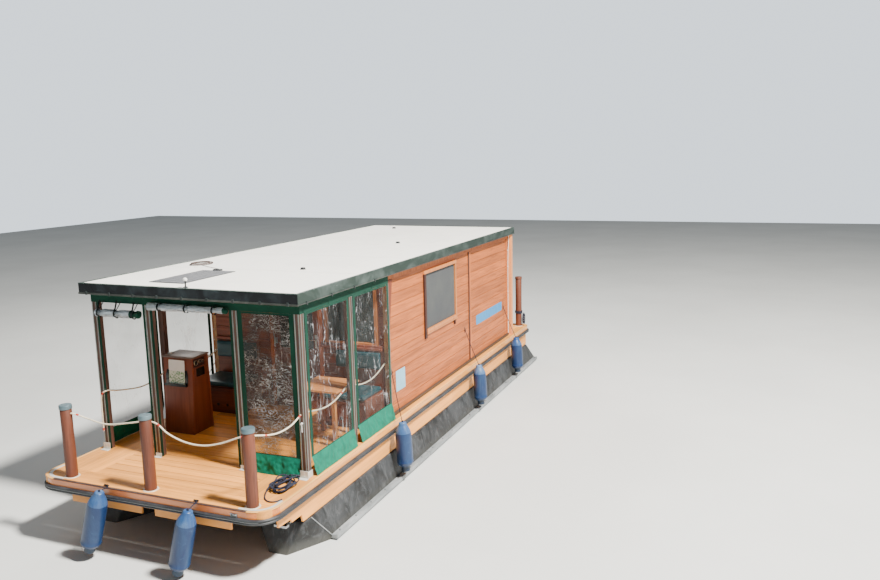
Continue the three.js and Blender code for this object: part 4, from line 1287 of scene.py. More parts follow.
@made_once
def vinyl_with_painted_glints(name, colour, dull, scale, stretch, amount, warp, painted_dark_alpha=0.06, solid=None, width=0.035):
    """Clear vinyl with painted glints: its crease lines take colour as a painted highlight, and between them
    the dull tint, near black, is a painted dark reflection.
    """
    s = Shader(name)
    bent = s.node("ShaderNodeTexNoise", {"Vector": s.place(stretch), "Scale": scale * 0.35, "Detail": 2.0})
    spot = s.node("ShaderNodeVectorMath", operation="MULTIPLY_ADD")
    s.put(spot.inputs[0], bent.outputs["Color"])
    spot.inputs[1].default_value = (warp, warp, warp)
    s.put(spot.inputs[2], s.place(stretch))
    fine = thin_lines(s, spot.outputs["Vector"], scale, width)
    wide = thin_lines(s, spot.outputs["Vector"], scale * 0.45, width)
    painted_crease_light = s.sum(fine, wide, "MAXIMUM")
    patches = s.grade(s.noise(2.2, detail=2.0), 0.38, 0.6)
    # painted glints: the crease lines, in patches, get the highlight colour and more opacity
    painted_glint = s.sum(painted_crease_light, s.grade(patches, 0.0, 1.0, 0.15, 1.0), "MULTIPLY")
    alpha = s.sum(s.grade(painted_glint, 0.0, 1.0, painted_dark_alpha, painted_dark_alpha + amount), s.grade(patches, 0.0, 1.0, 0.0, painted_dark_alpha))
    height = s.sum(fine, s.sum(wide, 1.6, "MULTIPLY"))
    body = s.mix(s.grade(painted_glint, 0.0, 0.6), dull, colour)
    return s.finish(Base_Color=body, Alpha=alpha if solid is None else solid, Roughness=0.16,
                    Specular_IOR_Level=0.35, Normal=s.bump(height, 0.9, 0.008))


def add_curtain(bm, start, end, side, low=0.235, high=1.922, flap=0.24, flare=0.066, hem=0.05, seed=0,
                depth=0.01):
    """A hanging curtain with a flap that swings out at the foot.

    start and end are (x, y) pairs seen from outside; side is the way out, a unit (x, y).
    Returns the cloth's cut size.
    """
    start, end = Vector((*start, 0)), Vector((*end, 0))
    away = Vector((*side, 0))
    width = (end - start).length
    step = settings("cloth").step
    columns, rows = round(width / step), round((high - low + flap) / step)
    total = high - low + flap
    made = bmesh.ops.create_grid(bm, x_segments=columns, y_segments=rows, size=0.5)
    shift = Vector((seed * 7.1, seed * 3.3, 0))
    for face in {f for v in made["verts"] for f in v.link_faces}:
        middle = face.calc_center_median()
        u, down = (middle.x + 0.5) * width, (0.5 - middle.y) * total
        green = u < hem or u > width - hem or down > high - low or down < 0.02
        face.material_index = 2 if down > high - low + 0.006 else 0 if green else 1
    for vert in made["verts"]:
        u, down = vert.co.x + 0.5, (0.5 - vert.co.y) * total
        place = start.lerp(end, u)
        edge = min(1.0, min(u, 1 - u) * width / 0.16)
        pinned = edge * edge * (3 - 2 * edge)
        spot = Vector((u * width * 1.6, down * 0.7, 0)) + shift
        fold = noise.noise(spot) * 1.2 + 0.5 * noise.noise(spot * 2.6)
        out = depth * pinned * min(1.0, down / 0.3) * fold
        height = high - down
        if down > high - low:
            fallen = (down - (high - low)) / flap
            wave = 0.5 + 0.5 * noise.noise(Vector((u * 3.1, 0.4, 0)) + shift)
            swing = flare * (0.75 + 0.25 * wave)
            rumple = noise.noise(Vector((u * 7, fallen * 2, seed)))
            rumple += 0.6 * noise.noise(Vector((u * 19, fallen * 5, seed)))
            out = out * (1 - fallen) + swing * fallen + 0.014 * math.sin(fallen * 2.6) * rumple
            height = low - fallen * math.sqrt(max(0.0, flap ** 2 - swing ** 2))
            place = place + (end - start) * (0.5 - u) * 0.02 * fallen
        vert.co = (*(place + away * out).xy, height)
    return width, total


class HOUSEBOAT_OT_curtains(bpy.types.Operator):
    """Hangs the clear curtains with their canvas borders and flaps"""

    bl_idname = "houseboat.curtains"
    bl_label = "Curtains"

    def execute(self, context):
        textile = settings("cloth")
        canvas = cloth("canvas", textile.canvas_colour)
        flap = cloth("canvas flap", textile.flap_colour, painted_crease_light=0.5)
        # The vinyls carry painted glints on their creases and a near-black tint between them, a painted dark
        # reflection.
        painted_dark_tint = (0.01, 0.012, 0.014)
        soft = vinyl_with_painted_glints("side vinyl", (0.6, 0.63, 0.66), painted_dark_tint, 6.5, (1, 1, 0.3), 0.2, 0.7, 0.17, width=0.01)
        clear = vinyl_with_painted_glints("clear vinyl", (0.7, 0.73, 0.74), painted_dark_tint, 5.0, (1, 1, 0.3), 0.14, 0.4, 0.1, width=0.014)
        sharp = vinyl_with_painted_glints("front vinyl", (0.36, 0.34, 0.32), (0.01, 0.008, 0.007), 17.0, (0.5, 1, 1.1), 0.5,
                        0.6, 0.4, width=0.02)
        out = POST_X + POST + 0.0033
        bays = (0.012 - 0.0 + POST, POST_SIDE - POST - 0.012), (POST_SIDE + POST + 0.012, CABIN_FRONT - 0.012)
        for side, name in ((1, "port"), (-1, "starboard")):
            for i, (near, far) in enumerate(bays):
                bm = bmesh.new()
                size = add_curtain(bm, (side * out, near), (side * out, far), (side, 0), seed=i + 3 * side)
                made = piece(f"curtain_{name}_{i + 1}", bm, [canvas, soft if side > 0 else clear, flap],
                             (f"curtain_{name}",), smooth=60)
        bm = bmesh.new()
        size = add_curtain(bm, (POST_INNER + POST + 0.006, -POST - 0.0034),
                           (POST_X - POST - 0.006, -POST - 0.0034), (0, -1), seed=9, depth=0.016, flare=0.05)
        made = piece("curtain_front_3", bm, [canvas, sharp, flap], ("curtain_front",),
                     smooth=60)
        return {"FINISHED"}


def add_roll(bm, start, end, radius, seed, ends=0.0, taper=0.0, pinches=()):
    """A rolled curtain lying along x: rings pinched at the straps and rumpled between them."""
    start, end = Vector(start), Vector(end)
    length = end.x - start.x
    rings = round(length / 0.02)
    profile = [(0, 0)] + [(radius * (0.4 if i in (0, rings) else 1.0), length * i / rings)
                          for i in range(rings + 1)]
    profile.append((0, length))
    verts = add_turned(bm, profile, start, TO_PORT, steps=28)
    for vert in verts:
        along = vert.co.x - start.x
        middle = start.lerp(end, along / length)
        offset = vert.co - Vector((vert.co.x, start.y, start.z))
        pinch = 1.0 - 0.28 * max([0.0] + [math.exp(-((along - p) / 0.035) ** 2) for p in pinches])
        angle = math.atan2(offset.z, offset.y)
        rumple = noise.noise(Vector((along * 7, angle * 1.3, seed)))
        rumple += 0.6 * noise.noise(Vector((along * 22, angle * 3, seed + 5)))
        scale = pinch * (1 - taper * along / length) * (1 + 0.16 * rumple)
        vert.co = Vector((vert.co.x, middle.y, middle.z)) + offset * scale
    for face in {f for v in verts for f in v.link_faces}:
        along = face.calc_center_median().x - start.x
        face.material_index = 1 if ends and (length - along < ends) else 0


class HOUSEBOAT_OT_canvas(bpy.types.Operator):
    """Fixes the canvas band under the roof and the two rolled curtains with their straps"""

    bl_idname = "houseboat.canvas"
    bl_label = "Canvas band and rolls"

    def execute(self, context):
        textile = settings("cloth")
        canvas = cloth("canvas", textile.canvas_colour)
        low, high = BEAM_LOW - 0.006, HEADROOM - 0.003
        bm = bmesh.new()
        reach = POST_X + POST + 0.0045
        path = [(-reach, CABIN_FRONT - 0.012, 0), (-reach, -POST - 0.0045, 0), (reach, -POST - 0.0045, 0),
                (reach, CABIN_FRONT - 0.012, 0)]
        for a, b in zip(path, path[1:]):
            length = (Vector(b) - Vector(a)).length
            made = bmesh.ops.create_grid(bm, x_segments=round(length / 0.02), y_segments=6, size=0.5)
            side = (Vector(b) - Vector(a)).normalized().cross(Vector((0, 0, 1)))
            for vert in made["verts"]:
                u, v = vert.co.x + 0.5, vert.co.y + 0.5
                bulge = 0.0016 * noise.noise(Vector((u * length * 5, v, a[0])))
                vert.co = Vector(a).lerp(Vector(b), u) + side * bulge + Vector((0, 0, low + (high - low) * v))
        bmesh.ops.remove_doubles(bm, verts=bm.verts[:], dist=0.003)
        faces = bm.faces[:]
        bmesh.ops.recalc_face_normals(bm, faces=faces)
        bmesh.ops.solidify(bm, geom=faces, thickness=0.0025)
        piece("canvas_header", bm, [canvas], ("canvas_band",), smooth=50)

        grey = (0.5, 0.58, 0.64)
        rolled = vinyl_with_painted_glints("rolled vinyl", grey, grey, 22.0, (0.6, 1, 1), 0.25, 0.4, solid=0.93)
        bm = bmesh.new()
        add_roll(bm, (-0.585, -0.093, BEAM_LOW - 0.01), (0.585, -0.093, BEAM_LOW - 0.008), 0.046, 1,
                 taper=0.25, ends=0.07, pinches=(0.19, 0.585, 0.98))
        add_roll(bm, (-1.4, -0.094, 1.802), (-0.7, -0.094, 1.808), 0.05, 2, ends=0.14,
                 pinches=(0.08, 0.35, 0.62))
        bmesh.ops.recalc_face_normals(bm, faces=bm.faces[:])
        piece("rolled_curtains", bm, [rolled, canvas], smooth=60)

        bm = bmesh.new()
        for x in (-0.395, 0.0, 0.395):
            loop = [(x, -0.093 + 0.052 * math.cos(a), BEAM_LOW - 0.009 + 0.05 * math.sin(a))
                    for a in turns(24)]
            sweep(bm, loop, [(-0.012, -0.001), (0.012, -0.001), (0.012, 0.001), (-0.012, 0.001)], closed=True,
                  level=False)
        for x in (-1.33, -1.06, -0.79):
            for lean in (-0.035, 0.035):
                top = (x + lean, -POST - 0.012, BEAM_LOW + 0.02)
                sweep(bm, [top, (x + lean * 0.5, -0.1, 1.872), (x, -0.151, 1.825), (x, -0.151, 1.786),
                           (x, -0.1, 1.748), (x, -0.047, 1.786)],
                      [(-0.01, -0.001), (0.01, -0.001), (0.01, 0.001), (-0.01, 0.001)], level=False)
        piece("roll_straps", bm, [cloth("strap", tint("#10181a"), painted_crease_light=0.2)], smooth=50)
        return {"FINISHED"}


FENDERS = {
    "bow_starboard": ((-0.483, -1.16, 0.025), (-0.58, DECK_BOW + 0.014, 0.013)),
    "bow_centre": ((0.732, -1.16, -0.012), (0.68, DECK_BOW + 0.014, 0.013)),
    "port_forward": ((1.76, 1.98, 0.04), (1.4833, 2.26, 0.64)),
    "port_middle": ((1.76, 5.1, 0.04), (1.4833, 5.18, 0.62)),
    "port_aft": ((1.76, 7.28, 0.04), (1.4833, 7.33, 0.62)),
    "starboard_forward": ((-1.76, 1.98, 0.04), (-1.4833, 2.26, 0.64)),
    "starboard_middle": ((-1.76, 5.1, 0.04), (-1.4833, 5.18, 0.62)),
    "starboard_aft": ((-1.76, 7.28, 0.04), (-1.4833, 7.33, 0.62)),
}


class HOUSEBOAT_OT_fenders(bpy.types.Operator):
    """Hangs the eight inflated fenders on their lanyards and hooks"""

    bl_idname = "houseboat.fenders"
    bl_label = "Fenders"

    def execute(self, context):
        hull, ropes = settings("hull"), settings("ropes")
        body = moulded("fender vinyl", hull.fender_colour, tint("#4f7ba6"), 0.3, rough=(0.3, 0.55))
        # the shoulder at the fender's top gets a lighter blue: painted light on its upper dome; its pale
        # scuffs are wear
        top = moulded("fender top", tint("#123f75"), tint("#7f9cb5"), 0.5, rough=(0.3, 0.5))
        dark = moulded("fender end", hull.fender_end, tint("#4a6c88"), 0.3)
        cord = rope_fibre("lanyard", ropes.navy, shade(ropes.navy, 3.0))
        for name, (eye, hook) in FENDERS.items():
            if name.startswith("bow"):
                lean, tall = (0.31 if eye[0] < 0 else 0.27), 0.79
            else:
                lean, tall = (-0.045 if eye[0] > 0 else 0.045), 0.7
            turn = Matrix.Rotation(lean, 3, "Y")
            bm = bmesh.new()
            radius, foot = 0.112, -tall
            tube = [(0, foot + 0.085), (0.07, foot + 0.083), (0.088, foot + 0.09), (0.103, foot + 0.105),
                    (radius - 0.001, foot + 0.125), (radius + 0.0025, foot + 0.132),
                    (radius + 0.0025, foot + 0.142), (radius - 0.001, foot + 0.148), (radius, foot + 0.2),
                    (radius + 0.001, foot + 0.32), (radius, -0.25), (radius - 0.003, -0.172), (0.106, -0.15),
                    (0, -0.15)]
            shoulder = [(0, -0.155), (0.105, -0.154), (0.101, -0.13), (0.083, -0.085), (0.062, -0.048),
                        (0.056, -0.036), (0.052, -0.012), (0.046, -0.003), (0.03, 0.001), (0, 0.002)]
            base = [(0, foot), (0.05, foot), (0.058, foot + 0.005), (0.06, foot + 0.03), (0.057, foot + 0.05),
                    (0.066, foot + 0.075), (0.086, foot + 0.088), (0, foot + 0.09)]
            for index, profile in enumerate((tube, shoulder, base)):
                add_turned(bm, profile, eye, turn, 40, index)
            eyelet = [Vector(eye) + turn @ Vector((0.012 * math.cos(a), 0, -0.018 + 0.012 * math.sin(a)))
                      for a in turns(14)]
            add_bead(bm, eyelet, 0.0055, closed=True, index=2)
            piece(f"fender_{name}_body", bm, [body, top, dark], (f"fender_{name}",),
                  smooth=50)
            bm = bmesh.new()
            knot = Vector(eye) + turn @ Vector((0, 0, -0.014))
            anchor = Vector(hook)
            if name.startswith("bow"):
                edge = Vector((eye[0] * 0.7 + hook[0] * 0.3, DECK_BOW - 0.03, 0.012))
                path = smooth_path([knot, knot.lerp(edge, 0.5) + Vector((0, -0.004, 0.01)), edge, anchor],
                                   0.006)
            else:
                path = smooth_path([knot, knot.lerp(anchor, 0.5) - Vector((0, 0, 0.012)), anchor], 0.008)
            laid_rope(bm, path, 0.012, 3, 0.05)
            for wrap in range(3):
                ring = [knot + Vector((0.009 * math.cos(a), 0.009 * math.sin(a), 0.012 + 0.008 * wrap))
                        for a in turns(12)]
                add_bead(bm, ring, 0.0045, closed=True)
            piece(f"lanyard_{name}", bm, [cord], smooth=50)
        bm = bmesh.new()
        for name, (eye, hook) in FENDERS.items():
            x, y, z = hook
            if name.startswith("bow"):
                add_box(bm, (x - 0.03, x + 0.03), (y - 0.012, y + 0.016), (0.0, 0.006))
                add_rod(bm, (x - 0.03, y, 0.014), (x + 0.03, y, 0.014), 0.006, 12)
                continue
            side = 1 if x > 0 else -1
            add_box(bm, flank(side, CABIN_HALF, CABIN_HALF + 0.004), (y - 0.014, y + 0.014),
                    (z - 0.04, z + 0.05))
            hookline = [(side * (CABIN_HALF + 0.004), y, z + 0.022),
                        (side * (CABIN_HALF + 0.016), y, z + 0.02),
                        (side * (CABIN_HALF + 0.024), y, z + 0.002),
                        (side * (CABIN_HALF + 0.018), y, z - 0.014),
                        (side * (CABIN_HALF + 0.004), y, z - 0.016)]
            add_bead(bm, smooth_path(hookline, 0.005), 0.004)
        piece("fender_hooks", bm, [moulded("hook", tint("#15181b"), tint("#4a4d50"))],
              smooth=40)
        return {"FINISHED"}


def add_convex(bm, points, soft=0.0, segments=2, index=0):
    """A convex body round the points, with eased edges."""
    made = bmesh.new()
    for point in points:
        made.verts.new(point)
    hull = bmesh.ops.convex_hull(made, input=made.verts[:])
    inside = {v for v in hull["geom_interior"] + hull["geom_unused"] if isinstance(v, bmesh.types.BMVert)}
    bmesh.ops.delete(made, geom=list(inside), context="VERTS")
    bmesh.ops.dissolve_limit(made, angle_limit=0.02, verts=made.verts[:], edges=made.edges[:])
    if soft:
        bevel_all(made, soft, segments)
    add_copy(bm, made, index)


def add_copy(bm, other, index=None):
    """Moves the faces of another bmesh into bm, and frees the other."""
    if index is not None:
        for face in other.faces:
            face.material_index = index
    mesh = bpy.data.meshes.new("copy")
    other.to_mesh(mesh)
    other.free()
    bm.from_mesh(mesh)
    bpy.data.meshes.remove(mesh)


def add_panel(bm, outline, way, soft=0.0, index=0, tone=0.0, segments=1):
    """A board cut to an outline of 3-D points and pushed out by the vector way."""
    made = bmesh.new()
    layer = made.faces.layers.float.new("tone")
    face = made.faces.new([made.verts.new(p) for p in outline])
    pushed = bmesh.ops.extrude_face_region(made, geom=[face])
    bmesh.ops.translate(made, verts=[v for v in pushed["geom"] if isinstance(v, bmesh.types.BMVert)], vec=way)
    bmesh.ops.recalc_face_normals(made, faces=made.faces[:])
    if soft:
        bevel_all(made, soft, segments)
    for face in made.faces:
        face[layer] = tone
    add_copy(bm, made, index)


FLOAT_X = 1.25


def hull_plastic(name, colour):
    """Dark moulded plastic: cloudy scuffs, scratches and a pale film near the waterline."""
    s = Shader(name)
    clouds = s.noise(3.2, (1, 1, 0.6), detail=9.0, rough=0.68, distort=0.5)
    smears = s.noise(10.0, (1, 0.8, 0.5), detail=6.0, rough=0.7, distort=1.2, shift=(3.0, 1.0, 0.0))
    nicks = s.noise(40.0, (1, 0.1, 1), detail=5.0, rough=0.8, distort=0.8)
    body = s.mix(s.grade(clouds, 0.38, 0.66, 0.0, 0.75), colour, tint("#4a4d50"))
    body = s.mix(s.grade(smears, 0.5, 0.72, 0.0, 0.5), body, tint("#66696c"))
    body = s.mix(s.grade(nicks, 0.66, 0.74, 0.0, 0.5), body, tint("#b0b2b3"))
    height = s.node("ShaderNodeSeparateXYZ", {"Vector": s.place()}).outputs["Z"]
    body = s.mix(s.grade(height, 0.66, 0.5, 0.0, 0.45), body, tint("#66645a"))
    return s.finish(
        Base_Color=body, Roughness=s.grade(clouds, 0.3, 0.7, 0.5, 0.72),
        Normal=s.bump(s.sum(smears, s.sum(nicks, 0.4, "MULTIPLY")), 0.35, 0.006))


class HOUSEBOAT_OT_pontoons(bpy.types.Operator):
    """Builds the two floats with their seams, bolted flange and top rail"""

    bl_idname = "houseboat.pontoons"
    bl_label = "Pontoons"

    def execute(self, context):
        hull = settings("hull")
        rails = ((0.345, -0.411, -0.15, 8.55), (0.43, -0.77, 0.16, 8.9), (0.35, -1.15, 0.45, 8.74),
                 (0.22, -1.32, 0.76, 8.42))
        nose = ((0.305, -0.44, -0.262), (0.12, -0.82, -0.354), (0.09, -1.13, -0.12))
        stern = ((9.12, -0.56), (9.2, -0.8), (9.06, -1.12))
        shell = hull_plastic("float shell", hull.hull_colour)
        ledge = moulded("float flange", hull.flange_colour, tint("#b3b6b7"), 0.7, rough=(0.5, 0.75),
                        streak=(1, 0.4, 1))
        for side, name in ((1, "port"), (-1, "starboard")):
            middle = side * FLOAT_X
            points = [(middle + sign * half, y, z) for half, z, fore, aft in rails for sign in (-1, 1)
                      for y in (fore, aft)]
            points += [(middle + sign * half, y, z) for half, z, y in nose for sign in (-1, 1)]
            points += [(middle, y, z) for y, z in stern]
            bm = bmesh.new()
            add_convex(bm, points, 0.016, 3)
            piece(f"float_{name}", bm, [shell], (f"pontoon_{name}",), smooth=25)
            bm = bmesh.new()
            add_box(bm, (middle - 0.265, middle + 0.265), (-0.14, 8.54), (-0.414, -0.34))
            for sign in (-1, 1):
                wall, rim = middle + sign * 0.4, middle + sign * 0.498
                for low, high in ((0.152, 2.93), (2.945, 5.9), (5.915, 8.86)):
                    add_box(bm, sorted((wall, rim)), (low, high), (-0.8, -0.748), index=1)
                    add_box(bm, sorted((rim - sign * 0.024, rim)), (low, high), (-0.749, -0.742), index=1)
            bevel_all(bm, 0.005, 2)
            for sign in (-1, 1):
                for i in range(22):
                    add_turned(bm, [(0, 0), (0.012, 0), (0.012, 0.004), (0.008, 0.009), (0, 0.009)],
                               (middle + sign * 0.457, 0.28 + i * 0.405, -0.749), steps=6, index=2)
                ridge = [(middle + sign * 0.346, -0.146, -0.414), (middle + sign * 0.431, 0.163, -0.77)]
                add_bead(bm, ridge, 0.006, index=1)
                for y in (2.937, 5.907):
                    add_bead(bm, [(middle + sign * 0.345, y, -0.414), (middle + sign * 0.427, y, -0.76)],
                             0.005)
            piece(f"float_rims_{name}", bm, [shell, ledge, bare_metal("bolt", tint("#7b7f80"))],
                  smooth=35)
        return {"FINISHED"}


class HOUSEBOAT_OT_fascia(bpy.types.Operator):
    """Hangs the fascia boards under the strake and dresses the metal frame behind them"""

    bl_idname = "houseboat.fascia"
    bl_label = "Fascia and frame"

    def execute(self, context):
        timber = settings("timber")
        along = wood("fascia wood along", timber.fascia_colour, "Y", 0.2, grime=0.12, scale=20.0)
        across = wood("fascia wood across", shade(timber.fascia_colour, 0.8), "X", 0.3, grime=0.35,
                      scale=20.0)
        step = [(-0.755, -0.1), (-0.755, -0.265), (-0.515, -0.275), (-0.5, -0.317), (-0.3, -0.319),
                (-0.28, -0.41), (4.3, -0.41), (4.3, -0.1)]
        rest = [(4.302, -0.1), (4.302, -0.41), (8.6, -0.41), (8.6, -0.1)]
        for side, name in ((1, "port"), (-1, "starboard")):
            bm = bmesh.new()
            for outline, tone in ((step, 0.2), (rest, -0.2)):
                add_panel(bm, [(side * 1.5465, y, z) for y, z in outline], (side * 0.026, 0, 0), 0.003,
                          tone=tone)
            piece(f"fascia_boards_{name}", bm, [along], (f"fascia_{name}",))
        bm = bmesh.new()
        for side, tone in ((1, 0.4), (-1, -0.3)):
            add_box(bm, flank(side, 0.09, 1.12), (-0.965, -0.9395), (-0.262, -0.1), tone)
        add_box(bm, (-1.12, 1.12), (-0.9385, -0.931), (-0.2, -0.1), 0.1)
        bevel_all(bm, 0.003)
        piece("fascia_boards_bow", bm, [across], ("fascia_bow",))
        bm = bmesh.new()
        add_box(bm, (-1.15, 0.0), (8.5005, 8.528), (-0.262, -0.1), 0.2)
        add_box(bm, (0.002, 1.15), (8.5005, 8.528), (-0.262, -0.1), -0.2)
        bevel_all(bm, 0.003)
        piece("fascia_boards_stern", bm, [across], ("fascia_stern",))
        steel = bare_metal("galvanised frame", tint("#5d6264"), (0.4, 0.65), 0.6)
        dress(steel, "cross_beams")
        bm = bmesh.new()
        for side in (-1, 1):
            edge = side * 1.35
            add_box(bm, sorted((edge, edge + side * 0.16)), (-0.53, -0.47), (-0.39, -0.36))
            add_box(bm, sorted((edge - side * 0.05, edge + side * 0.17)), (-0.46, -0.34), (-0.355, -0.342))
            add_box(bm, sorted((edge, edge + side * 0.17)), (-0.34, -0.332), (-0.355, -0.335))
        for x in (-0.07, 0.03):
            add_box(bm, (x, x + 0.035), (-0.975, -0.94), (-0.15, -0.118))
            add_box(bm, (x + 0.01, x + 0.05), (-0.99, -0.975), (-0.165, -0.148))
        bevel_all(bm, 0.002)
        for side in (-1, 1):
            for y in (-0.42, -0.37):
                add_turned(bm, [(0, 0), (0.011, 0), (0.011, 0.008), (0, 0.008)], (side * 1.47, y, -0.342),
                           steps=6)
            for x in (0.2, 0.6, 1.0):
                add_turned(bm, [(0, 0), (0.006, 0), (0.004, 0.002), (0, 0.002)], (side * x, -0.965, -0.17),
                           TO_BOW, steps=8)
        piece("frame_brackets", bm, [bare_metal("bracket steel", tint("#a9adae"), (0.3, 0.5))],
              smooth=40)
        return {"FINISHED"}


class HOUSEBOAT_OT_panes(bpy.types.Operator):
    """Dresses the panes and hangs the short curtain behind the front window"""

    bl_idname = "houseboat.panes"
    bl_label = "Panes"

    def execute(self, context):
        dress(glazing("side pane", (0.32, 0.34, 0.33), 0.2), "window_port_glass", "window_starboard_glass")
        dress(glazing("front pane", (0.05, 0.07, 0.07), 0.5), "window_front_glass", "front_door_glass")
        bm = bmesh.new()
        made = bmesh.ops.create_grid(bm, x_segments=90, y_segments=30, size=0.5)
        for vert in made["verts"]:
            u, v = vert.co.x + 0.5, vert.co.y + 0.5
            fold = 0.012 * math.sin(u * 46) + 0.005 * noise.noise(Vector((u * 14, v * 2, 0)))
            vert.co = (0.93 + 0.4 * u, CABIN_FRONT + 0.085 + fold * (1.1 - 0.3 * v), 1.25 + 0.66 * v)
        net = cloth("window curtain", tint("#b9bfae"), painted_crease_light=0.25)
        curtain = piece("window_curtain", bm, [net], smooth=70)
        bm = bmesh.new()
        add_rod(bm, (0.9, CABIN_FRONT + 0.085, 1.915), (1.36, CABIN_FRONT + 0.085, 1.915), 0.006, 12)
        for x in (0.9, 1.352):
            add_box(bm, (x, x + 0.008), (CABIN_FRONT + 0.0605, CABIN_FRONT + 0.092), (1.907, 1.924))
        piece("curtain_rod", bm, [bare_metal("rod", tint("#b6b8b6"))], smooth=40)
        return {"FINISHED"}


def add_leaf(bm, face, inward, low, high, light):
    """A door leaf: frame, rails and planks; light is the height range of its pane."""
    half, thick, stile = DOOR_HALF, 0.04, 0.09
    y = sorted((face, face + inward * thick))
    core = sorted((face + inward * 0.01, face + inward * (thick - 0.01)))
    random.seed(31)
    for side in (-1, 1):
        add_box(bm, flank(side, half, half - stile), y, (low, high), any_tone())
    rails = [(low, low + 0.12), (high - 0.09, high)]
    if light:
        rails += [(light[0] - 0.08, light[0]), (light[1], light[1] + 0.04)]
    for bottom, top in rails:
        add_box(bm, (-half + stile, half - stile), y, (bottom, min(top, high)), any_tone(), 1)
    top = light[0] - 0.08 if light else high - 0.09
    width = (2 * half - 2 * stile) / 6
    for i in range(6):
        left = -half + stile + i * width
        add_box(bm, (left + 0.001, left + width - 0.001), core, (low + 0.12, top), any_tone())


class HOUSEBOAT_OT_doors(bpy.types.Operator):
    """Makes the front and the aft door leaf with handles and hinges"""

    bl_idname = "houseboat.doors"
    bl_label = "Doors"

    def execute(self, context):
        timber = settings("timber")
        upright = wood("door wood", timber.joinery_colour, "Z", 0.4)
        across = wood("door rail", timber.joinery_colour, "X", 0.4)
        steel = bare_metal("handle steel", tint("#a6a9aa"), (0.2, 0.4))
        leaves = (
            ("front_door", CABIN_FRONT, 1, (0.9, 1.82), "front_door_leaf"),
            ("aft_door", CABIN_AFT, -1, None, "aft_door_leaf"),
        )
        for name, face, inward, light, body in leaves:
            bm = bmesh.new()
            add_leaf(bm, face, inward, 0.012, 1.95, light)
            bevel_all(bm, 0.002)
            piece(f"{name}_wood", bm, [upright, across], (name,), body=body)
            bm = bmesh.new()
            axis_x, axis_y = -DOOR_HALF - 0.0025, face - inward * 0.009
            for z in (0.25, 1.0, 1.7):
                add_rod(bm, (axis_x, axis_y, z - 0.045), (axis_x, axis_y, z + 0.045), 0.009, 16)
                add_box(bm, (axis_x, axis_x + 0.045),
                        sorted((axis_y + inward * 0.004, face + inward * 0.0008)), (z - 0.044, z + 0.044))
            out = -inward
            add_box(bm, (DOOR_HALF - 0.062, DOOR_HALF - 0.03), sorted((face, face + out * 0.005)),
                    (0.93, 1.12))
            add_rod(bm, (DOOR_HALF - 0.046, face, 1.05), (DOOR_HALF - 0.046, face + out * 0.042, 1.05), 0.008,
                    14)
            add_bead(bm, smooth_path([(DOOR_HALF - 0.046, face + out * 0.038, 1.05),
                                      (DOOR_HALF - 0.075, face + out * 0.044, 1.05),
                                      (DOOR_HALF - 0.16, face + out * 0.04, 1.048)], 0.008), 0.0075)
            piece(f"{name}_metal", bm, [steel], body=body, smooth=40)
            bm = bmesh.new()
            for z in (0.25, 1.0, 1.7):
                for way in (-1, 1):
                    a = z + way * 0.0453
                    b = a + way * 0.054
                    add_rod(bm, (axis_x, axis_y, min(a, b)), (axis_x, axis_y, max(a, b)), 0.009, 16)
                    add_box(bm, (axis_x - 0.04, axis_x),
                            sorted((axis_y + inward * 0.004, face - inward * 0.0002)), (min(a, b), max(a, b)))
            piece(f"{name}_hinges", bm, [steel], smooth=40)
        return {"FINISHED"}


HELM_LEAN = 0.065 / 1.033
HELM_AFT_LEAN = 0.025 / 1.033


def helm_face(z, off=0.0):
    """How far aft the helm's leaning front is at height z, or a place off in front of it."""
    return 0.725 + HELM_LEAN * z - off


def helm_back(z):
    """How far aft the helm's other face is at height z."""
    return 1.135 - HELM_AFT_LEAN * z


